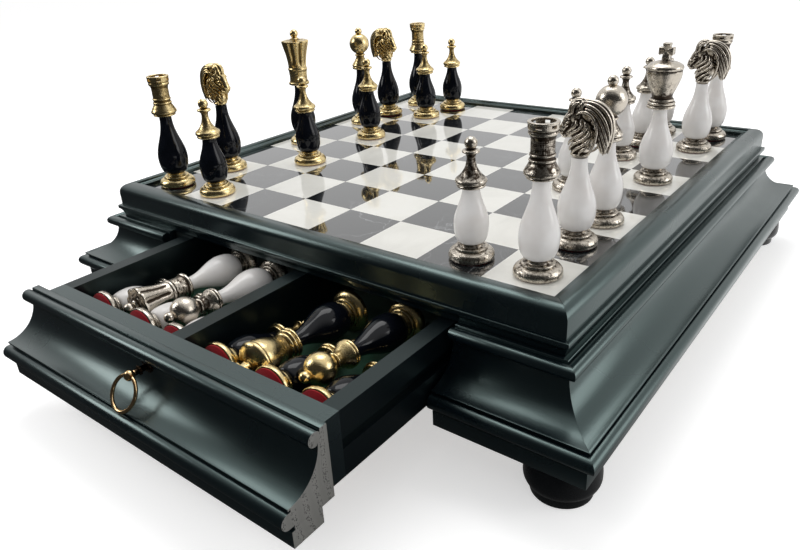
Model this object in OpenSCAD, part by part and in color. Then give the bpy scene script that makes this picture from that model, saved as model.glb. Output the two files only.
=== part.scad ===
// Chess box: a marble-look chess board on a moulded wooden case, with one drawer at
// the front and one at the back, and turned metal and lacquer chessmen, some standing
// on the board and some lying in the front drawer. Millimetres. The origin is on the
// floor under the middle of the board, +Z is up and the front drawer opens towards -Y.

/* [Board] */
// side of one square
square_size = 40; // [38:0.5:45]
// thickness of the square tiles
tile_thickness = 1; // [0.8:0.1:1.3]
// thickness of the wooden panel under the tiles
panel_thickness = 18.5; // [17.5:0.5:20]
// how far the panel passes beyond the squares, under the frame
panel_overlap = 8; // [6:0.5:9]
// width of the dark line round the squares
border_width = 1.5; // [1:0.1:2]

/* [Top frame] */
// height of the frame above the squares
frame_rise = 4; // [3:0.5:6]
// height of the small step inside the frame
frame_step_rise = 2; // [1.5:0.1:2.5]
// width of that step
frame_step_width = 2; // [1:0.1:2.5]
// radius of the small hollow above the step
frame_hollow_radius = 1.6; // [1:0.1:2]
// radius of the frame's outer top edge
frame_round_radius = 6.5; // [4:0.5:7]
// reach of the frame's upright face beyond the squares
frame_face_reach = 14.5; // [14.2:0.1:15.5]
// reach of the bead low on the frame
frame_bead_reach = 16.8; // [16.4:0.1:17.5]
// height of that bead
frame_bead_height = 2.7; // [2:0.1:3.5]
// width of the flat under the bead
frame_bead_lip = 0.4; // [0.2:0.1:0.6]
// radius of that bead's upper edge
frame_bead_edge = 0.8; // [0.5:0.1:1]
// height of the hollow under the bead
frame_cove_height = 5.5; // [4:0.5:6]
// reach of the frame where it meets the case
frame_foot_reach = 14.2; // [13.8:0.1:14.6]
// half the glue line in the frame's mitres
frame_mitre_gap = 0.03; // [0.02:0.01:0.1]

/* [Case moulding] */
// reach of the plinth face beyond the squares
plinth_reach = 38.5; // [36.5:0.5:41]
// height of the plinth face
plinth_height = 9; // [9:0.5:11]
// height of the quirk above the plinth
quirk_height = 2.5; // [2:0.1:3]
// depth of the quirk
quirk_depth = 1.7; // [1:0.1:2.2]
// radius of the half-round torus
torus_radius = 4; // [3:0.5:5]
// how far the torus centre stands out from the plinth face
torus_out = 0.8; // [0.2:0.1:1.5]
// height of the groove above the torus
groove_height = 1.1; // [0.8:0.1:1.5]
// depth of that groove
groove_depth = 0.9; // [0.6:0.1:1.3]
// height of the fillet under the cove
fillet_height = 0.9; // [0.6:0.1:1.4]
// how far the fillet stands out from the plinth face
fillet_out = 0.5; // [0.2:0.1:0.9]
// radius of the large cove
cove_radius = 20; // [19:0.5:21]
// height of the step above the cove
cove_step_height = 1; // [0.6:0.1:1.4]
// width of that step
cove_step_width = 1.2; // [0.8:0.1:1.4]
// radius of the nosing at the top of the moulding
nosing_radius = 2.75; // [2.5:0.05:3]
// how far the nosing centre stands out from the step
nosing_out = 1.05; // [0.8:0.05:1.3]

/* [Carcase] */
// thickness of the side panels, posts and guides
carcase_thickness = 12; // [10:0.5:12.5]
// reach of the carcase beyond the squares
carcase_reach = 12.8; // [12.6:0.1:13.4]
// thickness of the bottom panel
bottom_thickness = 8.5; // [7:0.5:9]
// reach of the bottom panel beyond the squares
bottom_reach = 20.5; // [20:0.5:22]
// thickness of the partition between the drawers
partition_thickness = 10; // [8:0.5:12]
// height of the drawer runners
runner_height = 7; // [5:0.5:9]
// height of the runners above the middle of the drawer sides
runner_rise = 1; // [0:0.5:2]
// gap between the runners and the drawer rail
runner_short = 0.2; // [0.1:0.1:2]
// distance of the runners from the partition
runner_back = 6; // [4:1:12]

/* [Drawers] */
// extra width of each compartment beside its row of lying men
compartment_spare = 0; // [0:0.5:8]
// how far the moulded front passes beyond the box at its left end
front_lap = 12.8; // [10:0.1:14]
// how far it passes beyond the box at its right end
front_overhang = 1.2; // [0.8:0.1:2]
// thickness of the drawer sides and back
box_side = 9.5; // [8:0.5:10]
// thickness of the rail behind the moulded front
rail_thickness = 9; // [8.5:0.5:11]
// thickness of the divider
divider_thickness = 10; // [8:0.5:10.5]
// thickness of the drawer bottom
box_bottom = 3; // [2.5:0.1:4]
// height of the drawer bottom above the lower edge of the box
box_bottom_rise = 3; // [2.5:0.1:3.5]
// depth of the grooves that hold the drawer bottom
box_groove = 3; // [2:0.1:4]
// thickness of the velvet lining
lining_thickness = 1; // [0.6:0.1:1.2]
// depth of the runner grooves in the drawer sides
runner_groove = 4.5; // [3.5:0.1:5]
// space between the drawer box and the bottom panel
box_floor_gap = 4; // [3:0.5:4.5]
// space between the top of the drawer and the board panel
drawer_top_gap = 0.5; // [0.4:0.1:0.8]
// space at each side of the drawer box
box_side_gap = 1.4; // [1:0.1:2]
// space at each end of the moulded front
front_end_gap = 0.5; // [0.3:0.1:1]
// space left behind a closed drawer
box_end_gap = 3.1; // [2:0.1:5]
// how far the front drawer stands open
front_open = 97; // [90:1:110]
// running clearance of sliding parts
slide_gap = 0.3; // [0.3:0.05:0.4]

/* [Ring pulls] */
// height of the pull above the lower edge of the case moulding
pull_rise = 36.8; // [35:0.5:38]
// distance of the ball centre in front of the rosette's seat
pull_length = 11.5; // [11:0.1:13]
// radius of the ball
ball_radius = 2.8; // [2.5:0.1:3.2]
// width of the ball between its two flats
ball_width = 4.6; // [4:0.1:4.8]
// radius of the stem behind the ball
stem_radius = 1.6; // [1.3:0.1:1.8]
// radius of the shank through the front
shank_radius = 2; // [1.8:0.1:2.4]
// depth of the shank in the rail
shank_depth = 7; // [5:0.5:7.5]
// radius of the rosette
rosette_radius = 4.2; // [4:0.1:5]
// thickness of the rosette
rosette_thickness = 2; // [1.5:0.1:2.5]
// glue space round the rosette
rosette_gap = 0.1; // [0.05:0.05:0.2]
// depth of the rosette's seat below the surface of the cove
seat_depth = 0.56; // [0.4:0.02:0.9]
// radius of the ring, to the middle of its wire
ring_radius = 9; // [8.5:0.1:9.5]
// radius of the ring's wire
ring_wire = 1; // [0.9:0.05:1.1]
// radius of the pin that joins the ring's ends
ring_pin = 0.9; // [0.7:0.05:0.95]
// running clearance round that pin
pin_gap = 0.08; // [0.05:0.01:0.09]
// gap between the ball's flats and the ring's ends
ring_end_gap = 0.2; // [0.15:0.05:0.3]
// gap between the resting ring and the edge it leans on
ring_rest_gap = 0.3; // [0.2:0.05:0.5]

/* [Feet] */
// distance of a foot's centre in from the plinth faces
foot_inset = 20.1; // [19.5:0.1:22]
// radius of the bun foot
foot_radius = 19; // [16:0.5:19.5]
// height of the bun foot
foot_height = 18.5; // [15:0.5:22]
// height of the foot's widest place above its lower face
foot_belly = 6; // [4:0.5:8]
// radius of the foot's neck
foot_neck_radius = 15; // [12:0.5:15.5]
// radius of the pad under the foot
pad_radius = 15.5; // [12:0.5:15.5]
// width of the pad's rim outside the lower face of the foot
pad_lip = 1; // [0.5:0.5:1.5]
// thickness of the pad
pad_height = 5; // [3:0.5:6]
// radius of the dowel in the foot
dowel_radius = 5; // [4:0.5:5.5]
// length of dowel in the foot
dowel_in_foot = 13; // [8:0.5:14]
// length of dowel in the case
dowel_in_case = 7.5; // [6:0.5:7.5]
// glue space round the dowel
dowel_gap = 0.1; // [0.05:0.05:0.3]

/* [Chessmen] */
// thickness of the felt under each man
felt_thickness = 0.6; // [0.4:0.1:0.8]
// radius of the felt
felt_radius = 11.2; // [10:0.1:11.5]
// radius of a tall man's base
base_radius = 12.4; // [12:0.1:12.5]
// radius of a pawn's base
pawn_base_radius = 12.2; // [11.8:0.1:12.2]
// height of each base, with its felt
base_height = 9.5; // [9.3:0.1:9.8]
// height of a tall man's column top above the board
column_top = 48.5; // [48:0.1:49]
// height of a rook's column top above the board
rook_column_top = 50; // [49.6:0.1:50.4]
// height of a pawn's column top above the board
pawn_column_top = 36.5; // [36.2:0.1:36.8]
// radius of a tall column's belly
column_belly = 10.2; // [9.5:0.1:10.3]
// radius of the king's column belly
king_belly = 10.6; // [10:0.1:10.7]
// radius of a pawn column's belly
pawn_belly = 9.2; // [8.8:0.1:9.2]
// radius of every column at its lower end
column_foot = 6.4; // [6:0.1:6.8]
// radius of every column at its upper end
column_neck = 4.6; // [4.2:0.1:4.8]
// radius of the tenons that join the metal parts to the column
tenon_radius = 2; // [1.6:0.1:2.2]
// length of those tenons
tenon_length = 8; // [6:0.5:9]
// glue space round the tenons
tenon_gap = 0.05; // [0.03:0.01:0.1]
// thickness of the knight's head
knight_thickness = 11; // [9:0.5:12]
// radius of the king's rim
king_rim = 11.4; // [11:0.1:11.6]
// radius of the bishop's dome
bishop_dome = 8.5; // [8:0.1:8.7]

/* [Lying men] */
// gap between the outer pawns and the sides of their compartment
lying_wall_gap = 0.4; // [0.3:0.1:1]
// how much closer to its pawns than its widest part a king or queen lies
tall_nest = 1.6; // [1:0.1:1.8]
// how much closer to its pawns than its dome a bishop lies
bishop_nest = 2.05; // [1.5:0.05:2.2]
// distance of the pawns' felts from the rail
lying_pawn_in = 7.5; // [6.5:0.5:9]
// distance of the king's felt from the rail
lying_king_in = 90; // [89.5:0.5:91]
// distance of the queen's felt from the rail
lying_queen_in = 102; // [101:0.5:106]
// distance of the bishops' felts from the rail
lying_bishop_in = 97; // [96:0.5:99]
// height of the lying men above the velvet
lying_lift = 0.05; // [0.02:0.01:0.2]

/* [Hidden] */
$fn = 72;
eps = 0.01;
// how far cutting shapes stand past what they cut, and spare depth at the ends of holes
over = 1;
end_room = 0.5;
squares = 8;
half = squares * square_size / 2;

// heights above the floor
plinth_z = pad_height + foot_height;
fillet_v = plinth_height + quirk_height + 2 * torus_radius + groove_height;
cove_v = fillet_v + fillet_height;
step_v = cove_v + cove_radius;
nosing_v = step_v + cove_step_height;
moulding_height = nosing_v + 2 * nosing_radius;
case_z = plinth_z + moulding_height;
bottom_top = plinth_z + bottom_thickness;
tile_z = case_z + panel_thickness;
board_z = tile_z + tile_thickness;

// distances outwards from the edge of the squares
cove_reach = plinth_reach + fillet_out;
step_reach = cove_reach - cove_radius;
nosing_reach = step_reach + cove_step_width + nosing_out;
torus_reach = plinth_reach + torus_out;
case_reach = torus_reach + torus_radius;
frame_level = panel_thickness + tile_thickness;
frame_height = frame_level + frame_rise;

// a row of lying men: a pawn, a king or queen, a pawn, a bishop and a pawn
row_pawn = pawn_base_radius + lying_wall_gap;
row_tall = row_pawn + king_rim + pawn_belly - tall_nest;
row_pawn2 = 2 * row_tall - row_pawn;
row_bishop = row_pawn2 + bishop_dome + pawn_belly - bishop_nest;
row_pawn3 = 2 * row_bishop - row_pawn2;
compartment_width = row_pawn3 + row_pawn + compartment_spare;
lying_pawn_tilt = -6.2;
lying_tall_tilt = 3.2;
lying_bishop_tilt = 5.8;

// drawer, in the closed place of the front one
box_width = 2 * (compartment_width + box_side) + divider_thickness;
front_width = front_lap + box_width + front_overhang;
front_x = front_width / 2;
opening_x = front_x + front_end_gap;
box_x1 = front_x - front_overhang;
box_x0 = box_x1 - box_width;
post_x1 = opening_x;
guide_x1 = box_x1 + box_side_gap;
guide_x0 = box_x0 - box_side_gap;
inner_x0 = box_x0 + box_side;
inner_x1 = box_x1 - box_side;
divider_x = (inner_x0 + inner_x1) / 2;
moulding_y = -(half + carcase_reach + slide_gap);
rail_back = moulding_y + rail_thickness;
box_back = -(partition_thickness / 2 + box_end_gap);
back_front = box_back - box_side;
box_z0 = bottom_top + box_floor_gap;
box_z1 = case_z - drawer_top_gap;
box_bottom_z = box_z0 + box_bottom_rise;
lining_z = box_bottom_z + box_bottom;
drawer_floor = lining_z + lining_thickness;
runner_z = (box_z0 + box_z1) / 2 - runner_height / 2 + runner_rise;

// ring pull
ball_z = plinth_z + pull_rise;
cove_drop = step_v - pull_rise;
rosette_seat = cove_reach - sqrt(cove_radius * cove_radius - cove_drop * cove_drop)
  - seat_depth;
ball_reach = rosette_seat + pull_length;
ball_y = -(half + ball_reach);
lean_out = cove_reach - ball_reach;
lean_down = pull_rise - cove_v;
ring_lean = atan(lean_out / lean_down)
  + asin((ring_wire + ring_rest_gap) / norm([lean_out, lean_down]));
ring_end_x = ball_width / 2 + ring_end_gap;
ring_hole = ring_pin + pin_gap;

// feet
foot_at = half + plinth_reach - foot_inset;

// places of the men on the board, in squares from the front left corner
gold_pawn_squares = [[1.44, 0.43], [1.6, 2.56], [1.48, 4.55], [1.49, 6.56], [1.59, 7.51]];
gold_rook_squares = [[0.37, 0.39], [0.58, 7.56]];
gold_knight_squares = [[0.5, 1.51], [0.51, 6.4]];
gold_bishop_squares = [[0.52, 5.47]];
gold_queen_squares = [[0.48, 3.57]];
silver_pawn_squares = [[6.59, 0.47], [6.53, 3.59], [6.54, 5.59], [6.58, 6.61], [6.61, 7.52]];
silver_rook_squares = [[7.56, 0.47], [7.54, 7.59]];
silver_knight_squares = [[7.54, 1.56], [7.54, 6.65]];
silver_bishop_squares = [[7.54, 2.47]];
silver_king_squares = [[7.52, 4.58]];

// turned outlines: radius, then height above the board
pawn_head_outline = [[7.2, 0], [7.4, 1], [7, 1.7], [8, 2.3], [8, 4.3], [6, 7],
  [4.2, 10], [3.1, 13.5], [2.6, 17.1], [2.9, 19.8], [4.3, 20.5], [4.3, 21.5],
  [2.6, 22.3]];
pawn_ball = [3.3, 25.2];
rook_rim = 7.3;
rook_outline = [[5.5, 0], [7, 0.2], [7.4, 0.8], [7.4, 2.4], [7, 3], [7, 3.4], [8.4, 3.8],
  [8.4, 4.7], [7.4, 6], [6.6, 7.4], [6, 8.3], [6.3, 8.6], [6.3, 9.4], [5.8, 9.8],
  [5.8, 10.9], [6.1, 11.2], [6.1, 11.9], [5.7, 12.3], [5.7, 19], [6.1, 20.6], [6.9, 21.4],
  [6.9, 22.6], [6.7, 23], [7.2, 23.8], [rook_rim, 27.1], [5.7, 27.1], [5.7, 22.6]];
rook_windows = 6;
// width, height and rise of a window
rook_window = [3, 2.1, 24.6];
bishop_outline = [[6.6, 0], [7.4, 0.8], [7.4, 2], [6.9, 2.5], [7.4, 2.9], [7.4, 3.9],
  [3.8, 9], [3.4, 11], [4.4, 11.5], [4.4, 12.3], [3.6, 12.8], [3.6, 14.5]];
bishop_dome_rise = 21.3;
bishop_neck = 1.8;
bishop_ball = [3, 31.7];
king_outline = [[6, 0], [8.6, 0.3], [8.6, 1.7], [7.9, 2.1], [8.6, 2.5], [8.6, 3.9],
  [7.6, 4.5], [8, 6], [8.4, 10.1], [9.2, 15], [10.2, 19.5], [king_rim, 24], [king_rim, 25.5],
  [10.6, 27.1], [4, 28.7], [2.2, 29.3], [2.2, 31]];
// across the arms, thickness, height, rise of the foot, and how far the arms stand above half way
king_cross = [9, 4, 9.6, 29.7, 0.6];
queen_outline = [[6, 0], [8.2, 0.3], [8.2, 2.1], [7.2, 2.9], [7, 6.5], [7.4, 11.3],
  [7.6, 12], [7.6, 13.2], [7.2, 14], [7.4, 18], [8.4, 24], [10.7, 32.5], [10.7, 34.2],
  [9.4, 34.5], [4.5, 35], [3, 36.2], [1.8, 37]];
queen_ball = [3.2, 39.5];
queen_flutes = 8;
// radius, rise, length, lean and how much of the radius stands out
queen_flute = [2, 14.6, 24, 10, 0.6];
base_outline = [[11.6, 0], [12.4, 0.8], [12.4, 2], [12.1, 3], [11.2, 4.2], [9.8, 5],
  [8.6, 5.3], [8.6, 6.3], [8.2, 6.7], [6.6, 6.9], [6, 7.4], [6, 8.4], [6.4, 8.9]];
knight_side = [[3.7, 0.4], [5.9, 1.2], [6.6, 3], [5.3, 5.8], [5.2, 7.6], [7.8, 8.1],
  [10, 9.6], [11.4, 12.4], [12.2, 14.8], [11.2, 17.8], [8.8, 21.1], [7.2, 24.6], [6.4, 27.3],
  [4.4, 29.4], [2.4, 29.9], [0.8, 28.2], [-1.4, 28.9], [-4.6, 29.6], [-8, 29.1],
  [-12.2, 26.6], [-14.6, 23.6], [-16, 20.3], [-17, 14], [-16.4, 9.6], [-15, 5.8],
  [-13.6, 1.2], [-11.2, 2.3], [-9.6, 5.2], [-8.4, 4], [-7, 1.6], [-5.6, 2.2], [-3.7, 0]];
// horse's head: plan, front view, locks of the mane and eye
knight_plan = [[13, -3], [6, -knight_thickness / 2], [-8, -knight_thickness / 2],
  [-18, -2.5], [-18, 2.5], [-8, knight_thickness / 2], [6, knight_thickness / 2], [13, 3]];
knight_front = [[-4.5, 0], [4.5, 0], [knight_thickness / 2, 8], [knight_thickness / 2, 22],
  [2.5, 30.5], [-2.5, 30.5], [-knight_thickness / 2, 22], [-knight_thickness / 2, 8]];
knight_room = 40;
knight_foot_lip = 0.6;
knight_foot_height = 1.6;
knight_locks = [[1, 21], [-5, 20.25], [-11, 16.5], [-15, 11.25]];
knight_lock_radius = 1.1;
knight_lock_length = 14;
knight_lock_lean = 24;
knight_lock_out = 0.4;
knight_eye = [5.4, 19.6, 1.5];
knight_eye_depth = 0.2;
// height of the wide lower part of a base
base_rim_top = 5;
// how far up a column its belly stands
tall_belly_share = 0.27;
pawn_belly_share = 0.34;
column_steps = 5;
column_rise_steps = 9;

lacquer = [0.13, 0.2, 0.19];
lacquer_dark = [0.05, 0.07, 0.08];
inner_wood = [0.55, 0.42, 0.28];
velvet = [0.05, 0.3, 0.18];
gold = [0.8, 0.62, 0.28];
silver = [0.62, 0.58, 0.52];
bronze = [0.32, 0.24, 0.16];
black_gloss = [0.03, 0.03, 0.04];
white_gloss = [0.93, 0.92, 0.9];
felt_red = [0.6, 0.06, 0.08];
marble_dark = [0.1, 0.1, 0.11];
marble_light = [0.92, 0.91, 0.87];

// box given by its two end values along each axis
module block(x, y, z)
  translate([x[0], y[0], z[0]])
    cube([x[1] - x[0], y[1] - y[0], z[1] - z[0]]);

// flat outline, drawn as reach beyond the squares and height, run along the back side
module run(length)
  rotate([90, 0, 90])
    translate([half, 0, 0])
      linear_extrude(length, center = true)
        children();

// plan of one mitred side between two reaches, shortened at both ends
module mitre_plan(inner, outer, height, short = 0)
  linear_extrude(height)
    polygon([[short - half - outer, half + outer], [half + outer - short, half + outer],
      [half + inner - short, half + inner], [short - half - inner, half + inner]]);

// section of the case moulding: plinth, quirk, torus, groove, fillet, cove and nosing
module case_section(back, rebate) {
  difference() {
    polygon([[back, bottom_thickness], [rebate, bottom_thickness], [rebate, 0],
      [plinth_reach, 0], [plinth_reach, plinth_height],
      [plinth_reach - quirk_depth, plinth_height],
      [plinth_reach - quirk_depth, plinth_height + quirk_height],
      [torus_reach, plinth_height + quirk_height],
      [torus_reach, plinth_height + quirk_height + 2 * torus_radius],
      [plinth_reach - groove_depth, fillet_v - groove_height],
      [plinth_reach - groove_depth, fillet_v], [cove_reach, fillet_v],
      [cove_reach, step_v], [step_reach + cove_step_width, step_v],
      [step_reach + cove_step_width, nosing_v], [nosing_reach, nosing_v],
      [nosing_reach, moulding_height], [back, moulding_height]]);
    intersection() {
      translate([cove_reach, step_v])
        circle(cove_radius);
      translate([0, cove_v - over])
        square([cove_reach + over, cove_radius + over]);
    }
  }
  translate([torus_reach, plinth_height + quirk_height + torus_radius])
    circle(torus_radius);
  translate([nosing_reach, nosing_v + nosing_radius])
    circle(nosing_radius);
}

// section of the top frame: step, hollow, rounded edge, bead and lower hollow
module frame_section() {
  cove_width = frame_bead_reach - frame_bead_lip - frame_foot_reach;
  cove_arc = (cove_width * cove_width + frame_cove_height * frame_cove_height)
    / (2 * cove_width);
  edge = frame_bead_edge;
  difference() {
    union() {
      polygon([[panel_overlap, 0], [frame_bead_reach, 0],
        [frame_bead_reach, frame_cove_height + frame_bead_height - edge],
        [frame_bead_reach - edge, frame_cove_height + frame_bead_height],
        [frame_face_reach, frame_cove_height + frame_bead_height],
        [frame_face_reach, frame_height - frame_round_radius],
        [frame_face_reach - frame_round_radius, frame_height],
        [border_width + frame_step_width, frame_height],
        [border_width + frame_step_width, frame_level + frame_step_rise],
        [border_width, frame_level + frame_step_rise],
        [border_width, panel_thickness], [panel_overlap, panel_thickness]]);
      translate([frame_face_reach - frame_round_radius, frame_height - frame_round_radius])
        intersection() {
          circle(frame_round_radius);
          square(frame_round_radius);
        }
      translate([frame_bead_reach - edge, frame_cove_height + frame_bead_height - edge])
        circle(edge);
    }
    translate([border_width + frame_step_width, frame_height])
      circle(frame_hollow_radius);
    intersection() {
      translate([frame_foot_reach + cove_arc, 0])
        circle(cove_arc);
      translate([0, -over])
        square([frame_bead_reach + over, frame_cove_height + over]);
    }
  }
}

// one full side of the case moulding, mitred at both ends, along the back
module case_side()
  intersection() {
    translate([0, 0, plinth_z])
      run(2 * (half + case_reach + over))
        case_section(carcase_reach, bottom_reach);
    mitre_plan(0, case_reach + over, case_z + over);
  }

// hole for the dowel of each foot
module dowel_holes()
  for (x = [-1, 1], y = [-1, 1])
    translate([x * foot_at, y * foot_at, plinth_z - over])
      cylinder(r = dowel_radius + dowel_gap, h = over + dowel_in_case + end_room);

module top_frame()
  color(lacquer)
    for (side = [0:3])
      rotate([0, 0, 90 * side])
        intersection() {
          translate([0, 0, case_z])
            run(2 * (half + frame_bead_reach + over))
              frame_section();
          translate([0, 0, case_z - over])
            mitre_plan(0, frame_bead_reach + over, frame_height + 2 * over, frame_mitre_gap);
        }

module board_panel()
  color(lacquer_dark)
    block([-half - panel_overlap, half + panel_overlap],
      [-half - panel_overlap, half + panel_overlap], [case_z, tile_z]);

// tiles of one colour
module tiles(odd)
  for (i = [0:squares - 1], j = [0:squares - 1])
    if ((i + j) % 2 == odd)
      translate([i * square_size - half, j * square_size - half, tile_z])
        cube([square_size, square_size, tile_thickness]);

module dark_squares()
  color(marble_dark)
    tiles(0);

module light_squares()
  color(marble_light)
    tiles(1);

module border_line()
  color(black_gloss)
    difference() {
      block([-half - border_width, half + border_width],
        [-half - border_width, half + border_width], [tile_z, board_z]);
      block([-half, half], [-half, half], [tile_z - over, board_z + over]);
    }

module left_moulding()
  color(lacquer)
    difference() {
      rotate([0, 0, 90])
        case_side();
      dowel_holes();
    }

module right_moulding()
  color(lacquer)
    difference() {
      rotate([0, 0, -90])
        case_side();
      dowel_holes();
    }

// the short mouldings that close the corners beside both drawer fronts
module corner_mouldings()
  color(lacquer)
    difference() {
      for (turn = [0, 180])
        rotate([0, 0, turn])
          difference() {
            case_side();
            block([-opening_x, opening_x], [0, half + case_reach + over], [0, case_z + over]);
          }
      dowel_holes();
    }

module carcase_sides()
  color(inner_wood)
    for (x = [-1, 1])
      translate([x * (half + carcase_reach - carcase_thickness / 2), 0, 0])
        block([-carcase_thickness / 2, carcase_thickness / 2],
          [-half - carcase_reach + carcase_thickness, half + carcase_reach - carcase_thickness],
          [bottom_top, case_z]);

// the four posts that frame the drawer openings
module carcase_posts()
  color(lacquer_dark)
    for (turn = [0, 180])
      rotate([0, 0, turn])
        for (x = [[-half - carcase_reach, guide_x0], [guide_x1, half + carcase_reach]])
          block(x, [-half - carcase_reach, -half - carcase_reach + carcase_thickness],
            [bottom_top, case_z]);

module bottom_panel()
  color(inner_wood)
    difference() {
      block([-half - bottom_reach, half + bottom_reach],
        [-half - bottom_reach, half + bottom_reach], [plinth_z, bottom_top]);
      dowel_holes();
    }

module centre_partition()
  color(inner_wood)
    block([-half - carcase_reach + carcase_thickness, half + carcase_reach - carcase_thickness],
      [-partition_thickness / 2, partition_thickness / 2], [bottom_top, case_z]);

// boards beside each drawer that carry the runners
module drawer_guides()
  color(inner_wood)
    for (turn = [0, 180])
      rotate([0, 0, turn])
        for (x = [[guide_x0 - carcase_thickness, guide_x0],
            [guide_x1, guide_x1 + carcase_thickness]])
          block(x, [-half - carcase_reach + carcase_thickness, -partition_thickness / 2],
            [bottom_top, case_z]);

// hardwood strips that run in the grooves of the drawer sides
module drawer_runners()
  color(inner_wood)
    for (turn = [0, 180])
      rotate([0, 0, turn])
        for (x = [[guide_x0, box_x0 + runner_groove - slide_gap],
            [box_x1 - runner_groove + slide_gap, guide_x1]])
          block(x, [rail_back + slide_gap + runner_short, -partition_thickness / 2 - runner_back],
            [runner_z, runner_z + runner_height]);

// bun foot: belly low down, drawn in to the neck
module bun()
  rotate_extrude()
    polygon(concat([[0, 0]],
      [for (i = [0:6])
        [pad_radius - pad_lip + (foot_radius - pad_radius + pad_lip) * sin(15 * i),
          foot_belly * (1 - cos(15 * i))]],
      [for (i = [1:9])
        [foot_neck_radius + (foot_radius - foot_neck_radius) * cos(10 * i),
          foot_belly + (foot_height - foot_belly) * sin(10 * i)]],
      [[0, foot_height]]));

module at_feet()
  for (x = [-1, 1], y = [-1, 1])
    translate([x * foot_at, y * foot_at, 0])
      children();

module feet()
  color(black_gloss)
    at_feet()
      difference() {
        translate([0, 0, pad_height])
          bun();
        translate([0, 0, plinth_z - dowel_in_foot])
          cylinder(r = dowel_radius + dowel_gap, h = dowel_in_foot + over);
      }

module foot_pads()
  color(black_gloss)
    at_feet()
      cylinder(r = pad_radius, h = pad_height);

module foot_dowels()
  color(inner_wood)
    at_feet()
      translate([0, 0, plinth_z - dowel_in_foot])
        cylinder(r = dowel_radius, h = dowel_in_foot + dowel_in_case);

// moulded front of a drawer, the same section as the case moulding
module drawer_front()
  color(lacquer)
    difference() {
      rotate([0, 0, 180])
        translate([0, 0, plinth_z])
          run(front_width)
            intersection() {
              case_section(carcase_reach + slide_gap, bottom_reach + slide_gap);
              square([2 * case_reach, moulding_height - drawer_top_gap]);
            }
      block([-front_x - over, front_x + over], [-half - bottom_reach - slide_gap, 0],
        [0, bottom_top + slide_gap]);
      translate([0, -half - rosette_seat, ball_z])
        rotate([90, 0, 0])
          cylinder(r = rosette_radius + rosette_gap, h = cove_radius);
      translate([0, -half, ball_z])
        rotate([90, 0, 0])
          cylinder(r = shank_radius + tenon_gap, h = rosette_seat + over);
    }

// groove all round the inside of the drawer box that holds the bottom
module bottom_groove()
  block([inner_x0 - box_groove, inner_x1 + box_groove],
    [rail_back - box_groove, back_front + box_groove],
    [box_bottom_z, box_bottom_z + box_bottom]);

module drawer_rail()
  color(lacquer)
    difference() {
      block([box_x0, box_x1], [moulding_y, rail_back], [box_z0, box_z1]);
      bottom_groove();
      translate([0, moulding_y + shank_depth, ball_z])
        rotate([90, 0, 0])
          cylinder(r = shank_radius + tenon_gap, h = rail_thickness);
    }

module drawer_sides()
  color(lacquer)
    difference() {
      for (x = [[box_x0, inner_x0], [inner_x1, box_x1]])
        block(x, [rail_back, box_back], [box_z0, box_z1]);
      bottom_groove();
      for (x = [[box_x0 - over, box_x0 + runner_groove],
          [box_x1 - runner_groove, box_x1 + over]])
        block(x, [rail_back - over, box_back + over],
          [runner_z - slide_gap, runner_z + runner_height + slide_gap]);
    }

module drawer_back()
  color(lacquer)
    difference() {
      block([inner_x0, inner_x1], [back_front, box_back], [box_z0, box_z1]);
      bottom_groove();
    }

module drawer_bottom()
  color(inner_wood)
    bottom_groove();

module drawer_divider()
  color(lacquer)
    block([divider_x - divider_thickness / 2, divider_x + divider_thickness / 2],
      [rail_back, back_front], [lining_z, box_z1]);

module drawer_lining()
  color(velvet)
    for (x = [[inner_x0, divider_x - divider_thickness / 2],
        [divider_x + divider_thickness / 2, inner_x1]])
      block(x, [rail_back, back_front], [lining_z, drawer_floor]);

// shank, stem and ball of a ring pull, made in one piece
module pull_post()
  color(gold)
    difference() {
      union() {
        translate([0, moulding_y + shank_depth, ball_z])
          rotate([90, 0, 0])
            cylinder(r = shank_radius, h = half + rosette_seat + rosette_thickness
              + moulding_y + shank_depth);
        translate([0, -half - rosette_seat, ball_z])
          rotate([90, 0, 0])
            cylinder(r = stem_radius, h = ball_reach - rosette_seat);
        intersection() {
          translate([0, ball_y, ball_z])
            sphere(ball_radius);
          block([-ball_width / 2, ball_width / 2],
            [ball_y - ball_radius - over, ball_y + ball_radius + over],
            [ball_z - ball_radius - over, ball_z + ball_radius + over]);
        }
      }
      translate([-ball_radius - over, ball_y, ball_z])
        rotate([0, 90, 0])
          cylinder(r = ring_hole, h = 2 * (ball_radius + over));
    }

module pull_rosette()
  color(bronze)
    translate([0, -half - rosette_seat, ball_z])
      rotate([90, 0, 0])
        rotate_extrude()
          polygon([[shank_radius + tenon_gap, 0], [rosette_radius, 0],
            [rosette_radius, rosette_thickness * 0.5],
            [rosette_radius * 0.8, rosette_thickness * 0.8],
            [shank_radius + 0.6, rosette_thickness], [shank_radius + tenon_gap, rosette_thickness]]);

// open ring whose two ends carry the pin that turns in the ball
module pull_ring()
  color(gold)
    translate([0, ball_y, ball_z])
      rotate([-ring_lean, 0, 0]) {
        difference() {
          translate([0, 0, -ring_radius])
            rotate([90, 0, 0])
              rotate_extrude()
                translate([ring_radius, 0])
                  circle(ring_wire);
          block([-ring_end_x, ring_end_x], [-2 * ring_wire, 2 * ring_wire],
            [-ring_radius / 2, 2 * ring_wire]);
        }
        translate([-ring_end_x - ring_wire / 2, 0, 0])
          rotate([0, 90, 0])
            cylinder(r = ring_pin, h = 2 * ring_end_x + ring_wire);
      }

// a part of the front drawer, drawn in its resting open place
module front_drawer()
  translate([0, -front_open, 0])
    children();

// a part of the back drawer, closed
module back_drawer()
  rotate([0, 0, 180])
    children();

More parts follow.
